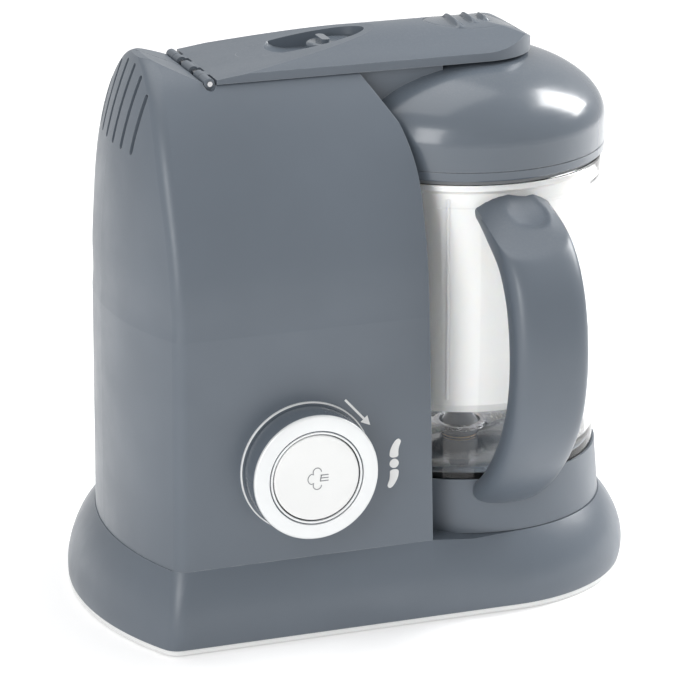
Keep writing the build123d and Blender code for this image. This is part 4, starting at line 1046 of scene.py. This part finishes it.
def make_feet():
    """Five soft feet with a ringed sole."""
    bm = bmesh.new()
    outline = rounded(FOOT_SECTION, steps=3)
    for centre_x, centre_y in FOOT_PLACES:

        def at_foot(radius, height, angle, x=centre_x, y=centre_y):
            return Vector((x + radius * cos(angle), y + radius * sin(angle), height)) * MM

        foot = turned("foot", outline, at_foot, steps=48)
        bm.from_mesh(foot.data)
        bpy.data.objects.remove(foot)
    fit_piece(finish_mesh("ringed_feet", bm), "housing", "black_rubber", "rubber_feet")


def make_screws():
    """Cross-cut heads over the plain heads of the base's and the arm's screws."""
    tree = screw_tree("cross_screws")
    shared = {"Cross Width": SCREW_CROSS * MM, "Finish": MATERIALS["zinc"]}
    level, radius, thickness = BASE_SCREW_HEAD
    base = repeated("base_screw_heads", tree, [(x, y, level) for x, y in BASE_SCREW_PLACES], {
        "Head Radius": radius * MM, "Head Height": thickness * MM, **shared,
    })
    fit_piece(base, "housing", "zinc")
    level, radius, thickness = ARM_SCREW_HEAD
    arm = repeated("arm_screw_heads", tree, [(x, y, level) for x, y in ARM_SCREW_PLACES], {
        "Head Radius": radius * MM, "Head Height": thickness * MM, **shared,
    })
    fit_piece(arm, "lid", "zinc")


# ---------------------------------------------------------------- scene


def make_camera():
    """A long lens, a little to the left of the front and above."""
    azimuth = radians(CAMERA_AZIMUTH)
    elevation = radians(CAMERA_ELEVATION)
    target = Vector(CAMERA_TARGET) * MM
    back = Vector((sin(azimuth) * cos(elevation), -cos(azimuth) * cos(elevation), sin(elevation)))
    lens = bpy.data.cameras.new("camera")
    lens.lens = CAMERA_LENS
    lens.sensor_width = 36.0
    camera = bpy.data.objects.new("camera", lens)
    bpy.context.scene.collection.objects.link(camera)
    camera.location = target + back * CAMERA_DISTANCE
    camera.rotation_euler = (-back).to_track_quat("-Z", "Y").to_euler()
    bpy.context.scene.camera = camera


def soft_box(name, where, width, height, power):
    """A large soft light that faces the object."""
    lamp = bpy.data.lights.new(name, "AREA")
    lamp.shape = "RECTANGLE"
    lamp.size = width
    lamp.size_y = height
    lamp.energy = power
    box = bpy.data.objects.new(name, lamp)
    bpy.context.scene.collection.objects.link(box)
    box.location = where
    aim = Vector(LIGHT_TARGET) - Vector(where)
    box.rotation_euler = aim.to_track_quat("-Z", "Y").to_euler()


def make_studio():
    """Plain pale floor and surroundings, with soft boxes at the left, the right and above."""
    soft_box("left_box", (-1.2, -1.05, 0.75), 0.6, 1.2, 12)
    soft_box("right_box", (1.05, 0.15, 0.95), 0.5, 0.8, 20)
    soft_box("top_box", (-0.25, 0.3, 1.5), 1.2, 1.0, 6)
    world = bpy.data.worlds.new("studio")
    bpy.context.scene.world = world
    world.use_nodes = True
    tree = Tree(world.node_tree)
    seen = tree.node("ShaderNodeLightPath").outputs["Is Camera Ray"]
    background = world.node_tree.nodes["Background"]
    background.inputs["Color"].default_value = (1.0, 1.0, 1.0, 1)
    tree.feed(background.inputs["Strength"], tree.remap(seen, 0, 1, 0.66, 1.0))
    bm = bmesh.new()
    corners = [bm.verts.new((x, y, 0)) for x, y in ((-8, -8), (8, -8), (8, 8), (-8, 8))]
    bm.faces.new(corners)
    floor = finish_mesh("floor", bm)
    material, tree, shader, place = new_material("floor_paper")
    tone = tree.noise(place["Object"], 3.0)
    paper = tree.mix_color(tone, (0.93, 0.93, 0.93, 1), (0.96, 0.96, 0.96, 1))
    tree.feed(shader.inputs["Base Color"], paper)
    shader.inputs["Roughness"].default_value = 0.7
    shader.inputs["Specular IOR Level"].default_value = 0.2
    shader.inputs["Emission Color"].default_value = (1, 1, 1, 1)
    shader.inputs["Emission Strength"].default_value = 0.16
    floor.data.materials.append(material)


def finish_nodes():
    """Every CAD node that still shows gets the finish of its slot."""
    for row in frame["record"]["subparts"]:
        node = frame["nodes"][row["node"]]
        node.data.materials.clear()
        node.data.materials.append(MATERIALS[row["material_slot"]])


def main():
    make_camera()
    make_materials()
    finish_nodes()
    make_handle()
    make_jar()
    make_basket_seams()
    make_blade()
    make_knob()
    make_signs()
    make_release_pad()
    make_recess_scoop()
    make_feet()
    make_screws()
    make_studio()
    bpy.context.scene.view_settings.view_transform = "Standard"


main()
